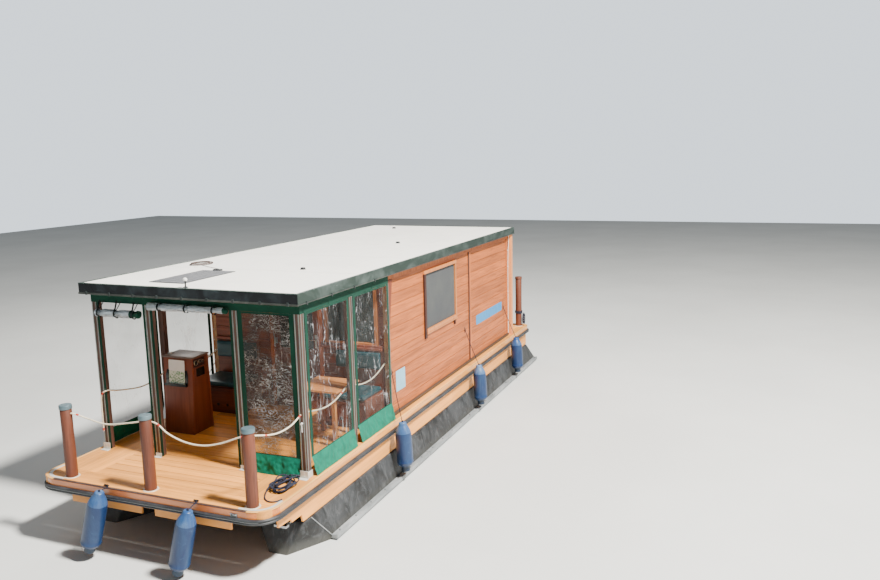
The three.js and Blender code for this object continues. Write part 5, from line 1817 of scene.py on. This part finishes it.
class HOUSEBOAT_OT_helm(bpy.types.Operator):
    """Builds the helm: tapered column, plain sheet in its tray, gauges, lever box and wheel"""

    bl_idname = "houseboat.helm"
    bl_label = "Helm"

    def execute(self, context):
        timber = settings("timber")
        left, right = -1.2, -0.73
        joinery = wood("helm wood", timber.joinery_colour, "Z", 0.3, rough=(0.35, 0.55), grime=0.15,
                       scale=20.0)
        worn = wood("helm top", tint("#6d5a50"), "X", 0.35, rough=(0.3, 0.5), grime=0.35)
        bm = bmesh.new()
        outline = [(left, 0.725, 0.0), (left, 1.135, 0.0), (left, 1.11, 1.033), (left, 0.79, 1.033)]
        add_panel(bm, outline, (right - left, 0, 0), 0.006, tone=0.1, segments=2)
        for x in (left - 0.001, right + 0.001):
            for y, slope in ((0.724, HELM_LEAN), (1.136 - 0.035, -HELM_AFT_LEAN)):
                feet = [(x, y, 0.0), (x, y + 0.035, 0.0), (x, y + 0.035 + slope * 1.03, 1.03),
                        (x, y + slope * 1.03, 1.03)]
                add_panel(bm, feet, (0.003 if x > -1 else -0.003, 0, 0), 0.001, tone=0.8)
        add_panel(bm, [(left - 0.012, 0.774, 1.033), (right + 0.012, 0.774, 1.033),
                       (right + 0.012, 1.124, 1.033), (left - 0.012, 1.124, 1.033)], (0, 0, 0.022), 0.004,
                       index=1, segments=2)
        piece("helm_column", bm, [joinery, worn], ("console",), smooth=30)

        bm = bmesh.new()
        tray = [(-1.16, helm_face(0.655, 0.001), 0.655), (-0.805, helm_face(0.655, 0.001), 0.655),
                (-0.8, helm_face(0.8, 0.001), 0.8), (-0.815, helm_face(0.87, 0.001), 0.87),
                (-1.14, helm_face(0.87, 0.001), 0.87), (-1.165, helm_face(0.8, 0.001), 0.8)]
        add_panel(bm, tray, (0, -0.01, 0), 0.002)
        add_box(bm, (-1.16, -0.805), (helm_face(0.655, 0.04), helm_face(0.655, 0.008)), (0.655, 0.662))
        add_box(bm, (-1.16, -0.805), (helm_face(0.655, 0.042), helm_face(0.655, 0.038)), (0.655, 0.69))
        port = right + 0.0005
        add_box(bm, (port, port + 0.014), (0.855, 1.008), (0.775, 0.885), index=0)
        add_box(bm, (port, port + 0.006), (0.8, 1.03), (0.905, 1.02), index=1)
        bevel_all(bm, 0.0015)
        for y, z, r in ((0.85, 0.965, 0.036), (0.93, 0.972, 0.026), (0.99, 0.965, 0.02)):
            add_turned(bm, [(0, 0), (r, 0), (r, 0.006), (r * 0.86, 0.011), (r * 0.8, 0.007), (0, 0.007)],
                       (port + 0.006, y, z), TO_PORT, steps=28, index=2)
            add_turned(bm, [(0, 0), (r * 0.8, 0), (0, 0.001)], (port + 0.0135, y, z),
                       TO_PORT, steps=28, index=0)
        piece("helm_panels", bm, [
            plain_paint("black gloss", tint("#0e1413"), (0.15, 0.3)),
            plain_paint("gauge panel", tint("#3a2320"), (0.2, 0.4)),
            bare_metal("gauge rim", tint("#a59a86")),
        ], smooth=40)

        bm = bmesh.new()
        made = bmesh.ops.create_grid(bm, x_segments=14, y_segments=18, size=0.5)
        for vert in made["verts"]:
            u, v = vert.co.x + 0.5, vert.co.y + 0.5
            z = 0.672 + 0.336 * v
            curl = 0.006 * (1 - math.cos(math.pi * (u - 0.5)))
            curl += 0.003 * noise.noise(Vector((u * 3, v * 3, 1)))
            vert.co = (-1.1 + 0.262 * u, helm_face(z, 0.013 + curl + 0.004 * v), z)
        bmesh.ops.recalc_face_normals(bm, faces=bm.faces[:])
        for f in bm.faces:
            f.material_index = 0 if f.calc_center_median().z > 0.86 else 1
        s = Shader("green print")
        blots = s.cells(46.0, output="Distance")
        print_face = s.finish(Base_Color=s.mix(s.grade(blots, 0.35, 0.5), tint("#2f8a45"), tint("#d9e6d8")),
                              Roughness=0.35)
        piece("plain_sheet", bm, [plain_paint("plain white", tint("#eef0ee"), grime=0.1), print_face],
              smooth=60)

        bm = bmesh.new()
        add_box(bm, (-0.79, -0.745), (helm_back(0.86) + 0.004, helm_back(0.86) + 0.03), (0.75, 0.985))
        bevel_all(bm, 0.01, 3)
        add_rod(bm, (-0.767, helm_back(0.9) + 0.02, 0.93), (-0.767, helm_back(0.9) + 0.075, 0.985), 0.006, 12)
        add_turned(bm, [(0, 0), (0.016, 0.002), (0.02, 0.014), (0.014, 0.028), (0, 0.032)],
                   (-0.767, helm_back(0.9) + 0.07, 0.97), steps=18)
        add_box(bm, (-1.185, -1.15), (0.86, 0.93), (1.0553, 1.072))
        piece("control_box", bm, [white_plastic()], smooth=40)

        bm = bmesh.new()
        hub = Vector((-0.965, helm_back(0.86) + 0.071, 0.86))
        turn = Matrix.Rotation(math.atan(HELM_AFT_LEAN), 3, "X")
        ring = [hub + turn @ Vector((0.152 * math.cos(a), 0, 0.152 * math.sin(a))) for a in turns(48)]
        add_bead(bm, ring, 0.0125, closed=True, sides=5)
        for i in range(3):
            a = math.pi / 2 + i * math.tau / 3
            spread = 0.012
            for side in (-1, 1):
                start = Vector((0.02 * math.cos(a) + side * spread * math.sin(a), 0.004,
                                0.02 * math.sin(a) - side * spread * math.cos(a)))
                end = Vector((0.142 * math.cos(a), 0, 0.142 * math.sin(a)))
                add_rod(bm, hub + turn @ start, hub + turn @ end, 0.005, 10, index=1)
        add_turned(bm, [(0, -0.014), (0.034, -0.014), (0.036, 0.004), (0.03, 0.014), (0, 0.017)], hub,
                   turn @ TO_STERN, steps=28)
        add_rod(bm, hub + turn @ Vector((0, -0.07, 0)), hub + turn @ Vector((0, -0.01, 0)), 0.014, 18,
                index=1)
        piece("helm_wheel", bm,
              [leatherette("wheel grip", tint("#0d0f10")), plain_paint("spoke black", tint("#17191b"))],
              ("steering_wheel",), body="helm", smooth=50)
        bm = bmesh.new()
        collar = [(0, 0.0002), (0.045, 0.0002), (0.045, 0.006), (0.022, 0.018), (0.0155, 0.03),
                  (0.0155, 0.0299), (0, 0.0299)]
        add_turned(bm, collar, hub + turn @ Vector((0, -0.0712, 0)), turn @ TO_STERN, steps=28)
        piece("helm_collar", bm, [plain_paint("spoke black", tint("#17191b"))], smooth=40)
        return {"FINISHED"}


def apply_modifiers(made):
    """Turns what an object's modifiers make of its mesh into the mesh itself."""
    graph = bpy.context.evaluated_depsgraph_get()
    made.data = bpy.data.meshes.new_from_object(made.evaluated_get(graph))
    made.modifiers.clear()


def puffed(name, x, y, z, soft, cap):
    """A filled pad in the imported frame: a soft box blown up by a cloth simulation."""
    bm = bmesh.new()
    add_box(bm, x, y, z)
    bevel_all(bm, soft, 4)
    pad = placed(name, bm)
    remesh = pad.modifiers.new("remesh", "REMESH")
    remesh.mode = "VOXEL"
    remesh.voxel_size = 0.01
    apply_modifiers(pad)
    before = [v.co.copy() for v in pad.data.vertices]
    sim = pad.modifiers.new("cloth", "CLOTH")
    sim.settings.use_pressure = True
    sim.settings.uniform_pressure_force = 4.0
    sim.settings.effector_weights.gravity = 0.0
    for step in range(1, 21):
        bpy.context.scene.frame_set(step)
    apply_modifiers(pad)
    for vert, start in zip(pad.data.vertices, before):
        moved = vert.co - start
        vert.co = start + moved * min(1.0, cap / max(1e-9, moved.length))
    bpy.context.scene.frame_set(1)
    fine = bmesh.new()
    fine.from_mesh(pad.data)
    bmesh.ops.smooth_vert(fine, verts=fine.verts[:], factor=0.5, use_axis_x=True, use_axis_y=True,
                          use_axis_z=True)
    fine.to_mesh(pad.data)
    fine.free()
    subdivide = pad.modifiers.new("subdivide", "SUBSURF")
    subdivide.levels = subdivide.render_levels = 1
    apply_modifiers(pad)
    pad.data.shade_smooth()
    return pad


class HOUSEBOAT_OT_benches(bpy.types.Operator):
    """Builds the two benches, the sill rail above them and their filled pads"""

    bl_idname = "houseboat.benches"
    bl_label = "Benches"

    def execute(self, context):
        timber, textile = settings("timber"), settings("cloth")
        joinery = wood("bench wood", timber.joinery_colour, "X", 0.35, rough=(0.4, 0.6))
        upright = wood("bench upright", timber.joinery_colour, "Z", 0.35, rough=(0.4, 0.6))
        cover = leatherette("pad cover", textile.pad_colour)
        wall = CABIN_FRONT - 0.0003
        front, pad_front = 1.61, 1.592
        seat_top, rail_top = 0.39, 0.962
        for side, name in ((1, "port"), (-1, "starboard")):
            random.seed(40 + side)
            bm = bmesh.new()
            between, whole = flank(side, 0.665, 1.385), flank(side, 0.652, 1.398)
            add_box(bm, between, (front + 0.012, front + 0.03), (0.06, 0.33), 0.2)
            add_box(bm, whole, (front + 0.002, front + 0.022), (0.33, 0.372), -0.3)
            add_box(bm, whole, (front + 0.03, wall), (0.37, 0.394), 0.0)
            add_box(bm, whole, (front + 0.034, front + 0.05), (0.0, 0.06), -0.8)
            add_box(bm, whole, (wall - 0.02, wall), (seat_top, rail_top), 0.4)
            for a, b in ((0.65, 0.668), (1.382, 1.4)):
                add_box(bm, flank(side, a, b), (front, wall), (0.0, seat_top), any_tone(), 1)
            bevel_all(bm, 0.002)
            piece(f"bench_{name}_wood", bm, [joinery, upright], (f"bench_{name}",))
            seat = puffed(f"seat_{name}", between, (pad_front, wall - 0.036), (0.405, 0.466), 0.022, 0.009)
            back = puffed(f"back_{name}", between, (wall - 0.075, wall - 0.03), (0.695, 0.95), 0.02, 0.008)
            for pad in (seat, back):
                pad.data.materials.append(cover)
                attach(pad, HULL)
            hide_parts(f"bench_{name}_cushion")
            bm = bmesh.new()
            add_bead(bm, [(side * 0.66, pad_front - 0.0045, 0.43), (side * 1.39, pad_front - 0.0045, 0.43)],
                     0.0035)
            piece(f"seams_{name}", bm, [cover], smooth=60)
            bm = bmesh.new()
            for x in (0.86, 1.02):
                add_turned(bm, [(0, 0), (0.022, 0), (0.022, 0.003), (0.012, 0.006), (0, 0.003)],
                           (side * x, front + 0.012, 0.13), TO_BOW, steps=20)
            piece(f"bench_vents_{name}", bm, [plain_paint("dark vent", tint("#1d1412"))],
                  smooth=40)
        bm = bmesh.new()
        add_box(bm, (0.42, 1.4), (2.128, wall - 0.001), (0.966, 1.0), 0.2)
        add_box(bm, (0.42, 1.4), (2.15, wall - 0.001), (1.001, 1.032), -0.2)
        add_box(bm, (-1.4, -0.46), (2.15, wall - 0.001), (0.966, 0.998), 0.1)
        bevel_all(bm, 0.003, 2)
        piece("sill_rail", bm, [wood("sill wood", tint("#8f4f3a"), "X", 0.35)])
        return {"FINISHED"}


class HOUSEBOAT_OT_table(bpy.types.Operator):
    """Builds the plank table on its two trestles"""

    bl_idname = "houseboat.table"
    bl_label = "Table"

    def execute(self, context):
        random.seed(50)
        bm = bmesh.new()
        planks = 5
        pitch = 0.6 / planks
        for i in range(planks):
            low = 0.9 + i * pitch
            add_box(bm, (0.76, 1.38), (low + 0.001, low + pitch - 0.001), (0.713, 0.74), any_tone())
        add_box(bm, (0.79, 1.35), (0.94, 1.46), (0.708, 0.7125), -0.5)
        leg_top = 0.7075
        for x in ((0.81, 0.86), (1.28, 1.33)):
            for y in ((0.93, 0.98), (1.42, 1.47)):
                add_box(bm, x, y, (0.0, leg_top), any_tone(), 1)
            add_box(bm, (x[0] + 0.008, x[1] - 0.008), (0.981, 1.419), (0.64, leg_top), any_tone(), 2)
        bevel_all(bm, 0.003, 2)
        colour = tint("#e0975a")
        piece("table_planks", bm, [
            wood("table top", colour, "X", 0.25, rough=(0.12, 0.25), coat=0.7, grime=0.05),
            wood("table leg", shade(colour, 0.75), "Z", 0.3),
            wood("table rail", shade(colour, 0.75), "Y", 0.3),
        ], ("table",))
        return {"FINISHED"}


def heap_route():
    """Flattened loops of rope dropped in a pile, then the run to the deck's corner."""
    random.seed(77)
    middle = Vector((1.384, -0.355, 0.0))
    loops, per = 9, 14
    shapes = [(math.radians(100) + random.uniform(-0.75, 0.75), random.uniform(0.13, 0.185),
               random.uniform(0.075, 0.1),
               random.uniform(-0.03, 0.03), random.uniform(-0.03, 0.03)) for _ in range(loops + 2)]
    points = []
    for k in range(loops * per + 5):
        loop, part = k // per, k % per / per
        turn, long, short, x, y = (a + (b - a) * part for a, b in zip(shapes[loop], shapes[loop + 1]))
        u, v = long * math.cos(part * math.tau), short * math.sin(part * math.tau)
        z = 0.0075 + 0.0115 * (k / per) * (0.8 + 0.35 * math.cos(part * math.tau + loop))
        points.append(middle + Vector((x + u * math.cos(turn) - v * math.sin(turn),
                                       y + u * math.sin(turn) + v * math.cos(turn), z)))
    points += [Vector(p) for p in ((1.295, -0.5, 0.06), (1.312, -0.6, 0.0125), (1.372, -0.69, 0.0085),
                                   (1.45, -0.735, 0.0085), (1.522, -0.712, 0.0085), (1.55, -0.635, 0.0085))]
    return points


def hank_route():
    """Turns of a line round the port stern bollard, then long loops that hang at its outer side."""
    random.seed(31)
    x, y, round_it = 1.44, 8.52, 0.0752
    points = [Vector((x + round_it * math.cos(a), y + round_it * math.sin(a), 0.33 - 0.0135 * a / math.tau))
              for a in (math.tau * k / 16 for k in range(16 * 4 + 1))]
    for k in range(1, 4 * 14):
        a = math.radians(90) - math.tau * k / 14
        points.append(Vector((x + 0.088 + 0.0115 * k / 14,
                              y + 0.058 * math.cos(a) * (1 + 0.1 * math.sin(0.4 * a)),
                              0.165 + 0.112 * math.sin(a) * (1 + 0.08 * math.cos(0.6 * a)))))
    return points


def coil_route():
    """Three uneven turns of the lead that lies on the roof."""
    points = []
    for k in range(3 * 24 + 1):
        a = math.tau * k / 24
        r = 0.126 + 0.02 * math.sin(a * 0.37) + 0.003 * (k // 24)
        points.append((-1.175 + r * math.cos(a), 1.67 + 1.25 * r * math.sin(a),
                       ROOF_TOP + 0.006 + 0.0075 * (a / math.tau)))
    return points


class HOUSEBOAT_OT_cables(bpy.types.Operator):
    """Lays the mooring rope's pile, the coiled lead on the roof and the cable down the aft corner"""

    bl_idname = "houseboat.cables"
    bl_label = "Rope pile and cables"

    def execute(self, context):
        ropes = settings("ropes")
        navy = rope_fibre("navy rope", ropes.navy, tint("#7d8498"), 0.3)
        bm = bmesh.new()
        path = relaxed(smooth_path(heap_route(), 0.006), 40)
        mooring = 0.016
        laid_rope(bm, path, mooring, 3, 0.055)
        pile = piece("rope_pile", bm, [navy], ("mooring_rope",), smooth=50)

        bm = bmesh.new()
        path = relaxed(smooth_path(hank_route(), 0.006), 12)
        stern_line = 0.012
        laid_rope(bm, path, stern_line, 3, 0.045)
        hank = piece("stern_hank", bm, [navy], smooth=50)

        bm = bmesh.new()
        path = smooth_path(coil_route(), 0.006)
        lead_diameter = 0.011
        add_bead(bm, path, lead_diameter / 2)
        lead = piece("roof_lead", bm, [rope_fibre("lead sheath", tint("#4c3a36"), tint("#a79c95"), 0.3)],
                     ("roof_cable",), smooth=60)

        bm = bmesh.new()
        path = smooth_path(CABLE_ROUTE, 0.01)
        cable_diameter = 0.012
        add_bead(bm, path, cable_diameter / 2)
        sheath = moulded("white cable", tint("#e8e7e0"), tint("#a8a69c"), 0.4)
        cable = piece("aft_cable", bm, [sheath], ("shore_cable",), smooth=60)
        bm = bmesh.new()
        for z in (0.03, 0.89, 1.4, 1.73):
            x = min(1.5, 1.488 + max(0.0, z - 0.9) * 0.004)
            add_box(bm, (x - 0.02, x + 0.012), (7.6215, 7.634), (z - 0.008, z + 0.008))
        bevel_all(bm, 0.002)
        clips = piece("cable_clips", bm, [plain_paint("clip white", tint("#e9e8e2"))],
                      smooth=40)
        return {"FINISHED"}


class HOUSEBOAT_OT_outboard(bpy.types.Operator):
    """Builds the outboard: clamp, swivel, cowl, leg and propeller"""

    bl_idname = "houseboat.outboard"
    bl_label = "Outboard"

    def execute(self, context):
        grey = plain_paint("motor paint", tint("#2b2e33"), (0.2, 0.4), 0.3)
        cast = bare_metal("cast alloy", tint("#8e9294"), (0.35, 0.55))
        steel = bare_metal("bolt", tint("#7b7f80"))
        bm = bmesh.new()
        jaw, plate = 0.074, 0.022
        for side in (-1, 1):
            x = flank(side, jaw, jaw + plate)
            outline = [(8.915, -0.21), (9.07, -0.21), (9.07, -0.44), (9.045, -0.48), (9.0003, -0.48),
                       (9.0003, -0.2247), (8.9397, -0.2247), (8.9397, -0.33), (8.915, -0.33)]
            add_panel(bm, [(x[0], y, z) for y, z in outline], (plate, 0, 0), 0.003)
            bolt = side * 0.085
            add_rod(bm, (bolt, 8.885, -0.3), (bolt, 8.9145, -0.3), 0.007, 14, index=1)
            add_rod(bm, (bolt - 0.022, 8.888, -0.3), (bolt + 0.022, 8.888, -0.3), 0.005, 12, index=1)
        add_box(bm, (-jaw - 0.001, jaw + 0.001), (9.0003, 9.012), (-0.475, -0.435))
        piece("motor_clamp", bm, [cast, steel], ("outboard_clamp",), smooth=35)

        bm = bmesh.new()
        tube = jaw - 0.0003
        add_rod(bm, (-tube, 9.04, -0.235), (tube, 9.04, -0.235), 0.02, 24)
        steer, yoke = 9.14, 0.03
        outline = ((9.025, -0.225), (9.078, -0.225), (steer, -0.36), (steer, -0.418), (9.04, -0.418),
                   (9.025, -0.3))
        add_panel(bm, [(-yoke, y, z) for y, z in outline], (2 * yoke, 0, 0), 0.006, segments=2)
        sleeve = [(0, -0.57), (0.03, -0.57), (0.032, -0.566), (0.032, -0.35), (0.03, -0.346), (0, -0.346)]
        add_turned(bm, sleeve, (0, steer, 0), steps=28)
        piece("motor_swivel", bm, [cast], ("outboard_swivel",), body="swivel", smooth=35)

        bm = bmesh.new()
        cowl, shaft = 0.135, -1.12
        sections = [(-0.16, 0.82, -0.05, 0.33), (-0.12, 0.95, -0.06, 0.342), (-0.04, 1.0, -0.06, 0.345),
                    (0.06, 0.95, -0.05, 0.32), (0.105, 0.8, -0.02, 0.26), (0.128, 0.5, 0.04, 0.18)]
        plan = [(0.42, 0.0), (0.85, 0.2), (0.96, 0.42), (0.85, 0.72), (0.42, 1.0), (-0.42, 1.0),
                (-0.85, 0.72), (-0.96, 0.42), (-0.85, 0.2), (-0.42, 0.0)]
        points = [(cowl * u * wide, steer + fore + (aft - fore) * v, z) for z, wide, fore, aft in sections
                  for u, v in plan]
        add_convex(bm, points, 0.008, 2)
        case = ((0.06, -0.158), (0.25, -0.158), (0.235, -0.4), (0.2, -0.62), (0.06, -0.62))
        add_panel(bm, [(-0.05, steer + y, z) for y, z in case], (0.1, 0, 0), 0.016, segments=3)
        blade = []
        for z, fore, aft, wide in ((-0.6, 0.055, 0.2, 0.028), (-1.08, 0.07, 0.18, 0.022)):
            widest = steer + (fore + aft) / 2 - 0.02
            blade += [(0, steer + fore, z), (0, steer + aft, z), (wide, widest, z), (-wide, widest, z)]
        add_convex(bm, blade, 0.004, 2)
        plate = ((-0.03, 0.03), (0.03, 0.03), (0.072, 0.12), (0.075, 0.28), (0.04, 0.3), (-0.04, 0.3),
                 (-0.075, 0.28), (-0.072, 0.12))
        add_panel(bm, [(x, steer + y, -1.0) for x, y in plate], (0, 0, 0.01), 0.002)
        gearcase = [(0, -0.03), (0.012, -0.026), (0.03, 0.0), (0.042, 0.05), (0.044, 0.1), (0.042, 0.17),
                    (0.036, 0.2095), (0, 0.2095)]
        add_turned(bm, gearcase, (0, steer, shaft), TO_STERN, 28)
        fin = ((0.04, -1.15), (0.17, -1.15), (0.19, -1.265), (0.13, -1.265))
        add_panel(bm, [(-0.007, steer + y, z) for y, z in fin], (0.014, 0, 0), 0.003)
        for low, high in ((-0.3447, -0.3), (-0.615, -0.5703)):
            add_box(bm, (-0.026, 0.026), (steer - 0.026, steer + 0.09), (low, high), index=1)
        piece("motor_body", bm, [grey, cast], ("outboard_motor",), body="motor", smooth=35)
        bm = bmesh.new()
        seam = [(cowl * u * 0.985, steer - 0.06 + 0.4025 * v, -0.075) for u, v in plan]
        add_bead(bm, seam, 0.003, closed=True)
        add_box(bm, (-0.02, 0.02), (steer + 0.33, steer + 0.352), (-0.1, -0.05))
        for side in (-1, 1):
            add_box(bm, flank(side, 0.05, 0.1), (steer + 0.03, steer + 0.12), (0.1, 0.104))
        piece("motor_seam", bm, [black_plastic()], body="motor", smooth=40)

        bm = bmesh.new()
        hub = (0, steer + 0.2103, shaft)
        boss = [(0, 0), (0.034, 0), (0.034, 0.045), (0.026, 0.06), (0.012, 0.068), (0, 0.07)]
        add_turned(bm, boss, hub, TO_STERN, 28)
        for i in range(3):
            made = bmesh.new()
            grid = bmesh.ops.create_grid(made, x_segments=8, y_segments=10, size=0.5)
            for vert in grid["verts"]:
                u, v = vert.co.x, vert.co.y + 0.5
                chord = 0.045 + 0.03 * math.sin(math.pi * min(1.0, v * 1.15))
                round_off = math.sqrt(max(0.0, 1 - max(0.0, (v - 0.6) / 0.4) ** 2)) if v > 0.6 else 1.0
                pitch = 0.75 - 0.35 * v
                across = u * chord * max(0.25, round_off)
                vert.co = (across * math.cos(pitch), 0.036 + across * math.sin(pitch), 0.028 + 0.082 * v)
            bmesh.ops.recalc_face_normals(made, faces=made.faces[:])
            bmesh.ops.solidify(made, geom=made.faces[:], thickness=0.005)
            place = Matrix.Translation(hub) @ Matrix.Rotation(i * math.tau / 3, 4, "Y")
            bmesh.ops.transform(made, matrix=place, verts=made.verts[:])
            add_copy(bm, made)
        piece("motor_propeller", bm, [cast], ("outboard_propeller",), body="propeller", smooth=50)
        return {"FINISHED"}


class HOUSEBOAT_OT_stage(bpy.types.Operator):
    """Lays the pale floor at the waterline and sets soft studio light"""

    bl_idname = "houseboat.stage"
    bl_label = "Stage"

    def execute(self, context):
        stage = settings("stage")
        bm = bmesh.new()
        bmesh.ops.create_grid(bm, x_segments=2, y_segments=2, size=40.0)
        bmesh.ops.translate(bm, verts=bm.verts[:], vec=(0, 4.1, WATERLINE))
        floor = placed("floor", bm)
        s = Shader("floor")
        soft = s.noise(0.35, detail=3.0)
        body = s.mix(s.grade(soft, 0.35, 0.65), stage.floor_colour, shade(stage.floor_colour, 0.93))
        floor.data.materials.append(s.finish(Base_Color=body, Roughness=0.85,
                                             Normal=s.bump(soft, 0.02, 0.01)))
        world = bpy.data.worlds.new("studio")
        context.scene.world = world
        world.use_nodes = True
        background = world.node_tree.nodes["Background"]
        background.inputs["Color"].default_value = (0.82, 0.91, 1.0, 1.0)
        rays = world.node_tree.nodes.new("ShaderNodeLightPath")
        level = world.node_tree.nodes.new("ShaderNodeMapRange")
        level.inputs["To Min"].default_value = stage.fill_strength
        level.inputs["To Max"].default_value = 1.6
        world.node_tree.links.new(rays.outputs["Is Camera Ray"], level.inputs["Value"])
        world.node_tree.links.new(level.outputs["Result"], background.inputs["Strength"])
        for name, place, aim, size, strength in (
                ("key", (13.8, -1.8, 18.8), (0, 3.0, 0.5), 2.5, stage.key_strength * 1900),
                ("rim", (-9.0, 12.0, 9.0), (0, 4.0, 1.0), 6.0, stage.key_strength * 60)):
            data = bpy.data.lights.new(name, "AREA")
            data.shape = "DISK"
            data.size = size
            data.energy = strength
            data.color = (1.0, 0.96, 0.9)
            lamp = bpy.data.objects.new(name, data)
            way = Vector(aim) - Vector(place)
            lamp.matrix_world = (Matrix.Translation(Vector(place) + ORIGIN)
                                 @ way.to_track_quat("-Z", "Y").to_matrix().to_4x4())
            context.collection.objects.link(lamp)
        return {"FINISHED"}


OPERATORS = [
    HOUSEBOAT_OT_camera,
    HOUSEBOAT_OT_barrier_ropes,
    HOUSEBOAT_OT_deck,
    HOUSEBOAT_OT_borders,
    HOUSEBOAT_OT_edge,
    HOUSEBOAT_OT_strake,
    HOUSEBOAT_OT_cladding,
    HOUSEBOAT_OT_wall_trim,
    HOUSEBOAT_OT_posts,
    HOUSEBOAT_OT_roof,
    HOUSEBOAT_OT_roof_fittings,
    HOUSEBOAT_OT_curtains,
    HOUSEBOAT_OT_canvas,
    HOUSEBOAT_OT_fenders,
    HOUSEBOAT_OT_pontoons,
    HOUSEBOAT_OT_fascia,
    HOUSEBOAT_OT_panes,
    HOUSEBOAT_OT_doors,
    HOUSEBOAT_OT_helm,
    HOUSEBOAT_OT_benches,
    HOUSEBOAT_OT_table,
    HOUSEBOAT_OT_cables,
    HOUSEBOAT_OT_outboard,
    HOUSEBOAT_OT_stage,
]


class HOUSEBOAT_PT_panel(bpy.types.Panel):
    """Lists the houseboat's pieces"""

    bl_idname = "HOUSEBOAT_PT_panel"
    bl_label = "Houseboat"
    bl_space_type = "VIEW_3D"
    bl_region_type = "UI"
    bl_category = "Houseboat"

    def draw(self, context):
        for group in SETTINGS:
            box = self.layout.box()
            box.label(text=group.capitalize())
            for key in SETTINGS[group].__annotations__:
                box.prop(settings(group), key)
        for operator in OPERATORS:
            self.layout.operator(operator.bl_idname)


def register():
    for kind in (*SETTINGS.values(), *OPERATORS, HOUSEBOAT_PT_panel):
        bpy.utils.register_class(kind)
    for group, kind in SETTINGS.items():
        setattr(bpy.types.Scene, f"houseboat_{group}", PointerProperty(type=kind))


def unregister():
    for group in SETTINGS:
        delattr(bpy.types.Scene, f"houseboat_{group}")
    for kind in (HOUSEBOAT_PT_panel, *reversed(OPERATORS), *SETTINGS.values()):
        bpy.utils.unregister_class(kind)


def main():
    register()
    for operator in OPERATORS:
        family, action = operator.bl_idname.split(".")
        if getattr(getattr(bpy.ops, family), action)() != {"FINISHED"}:
            raise RuntimeError(f"{operator.bl_label} wasn't built")


if __name__ == "__main__":
    main()
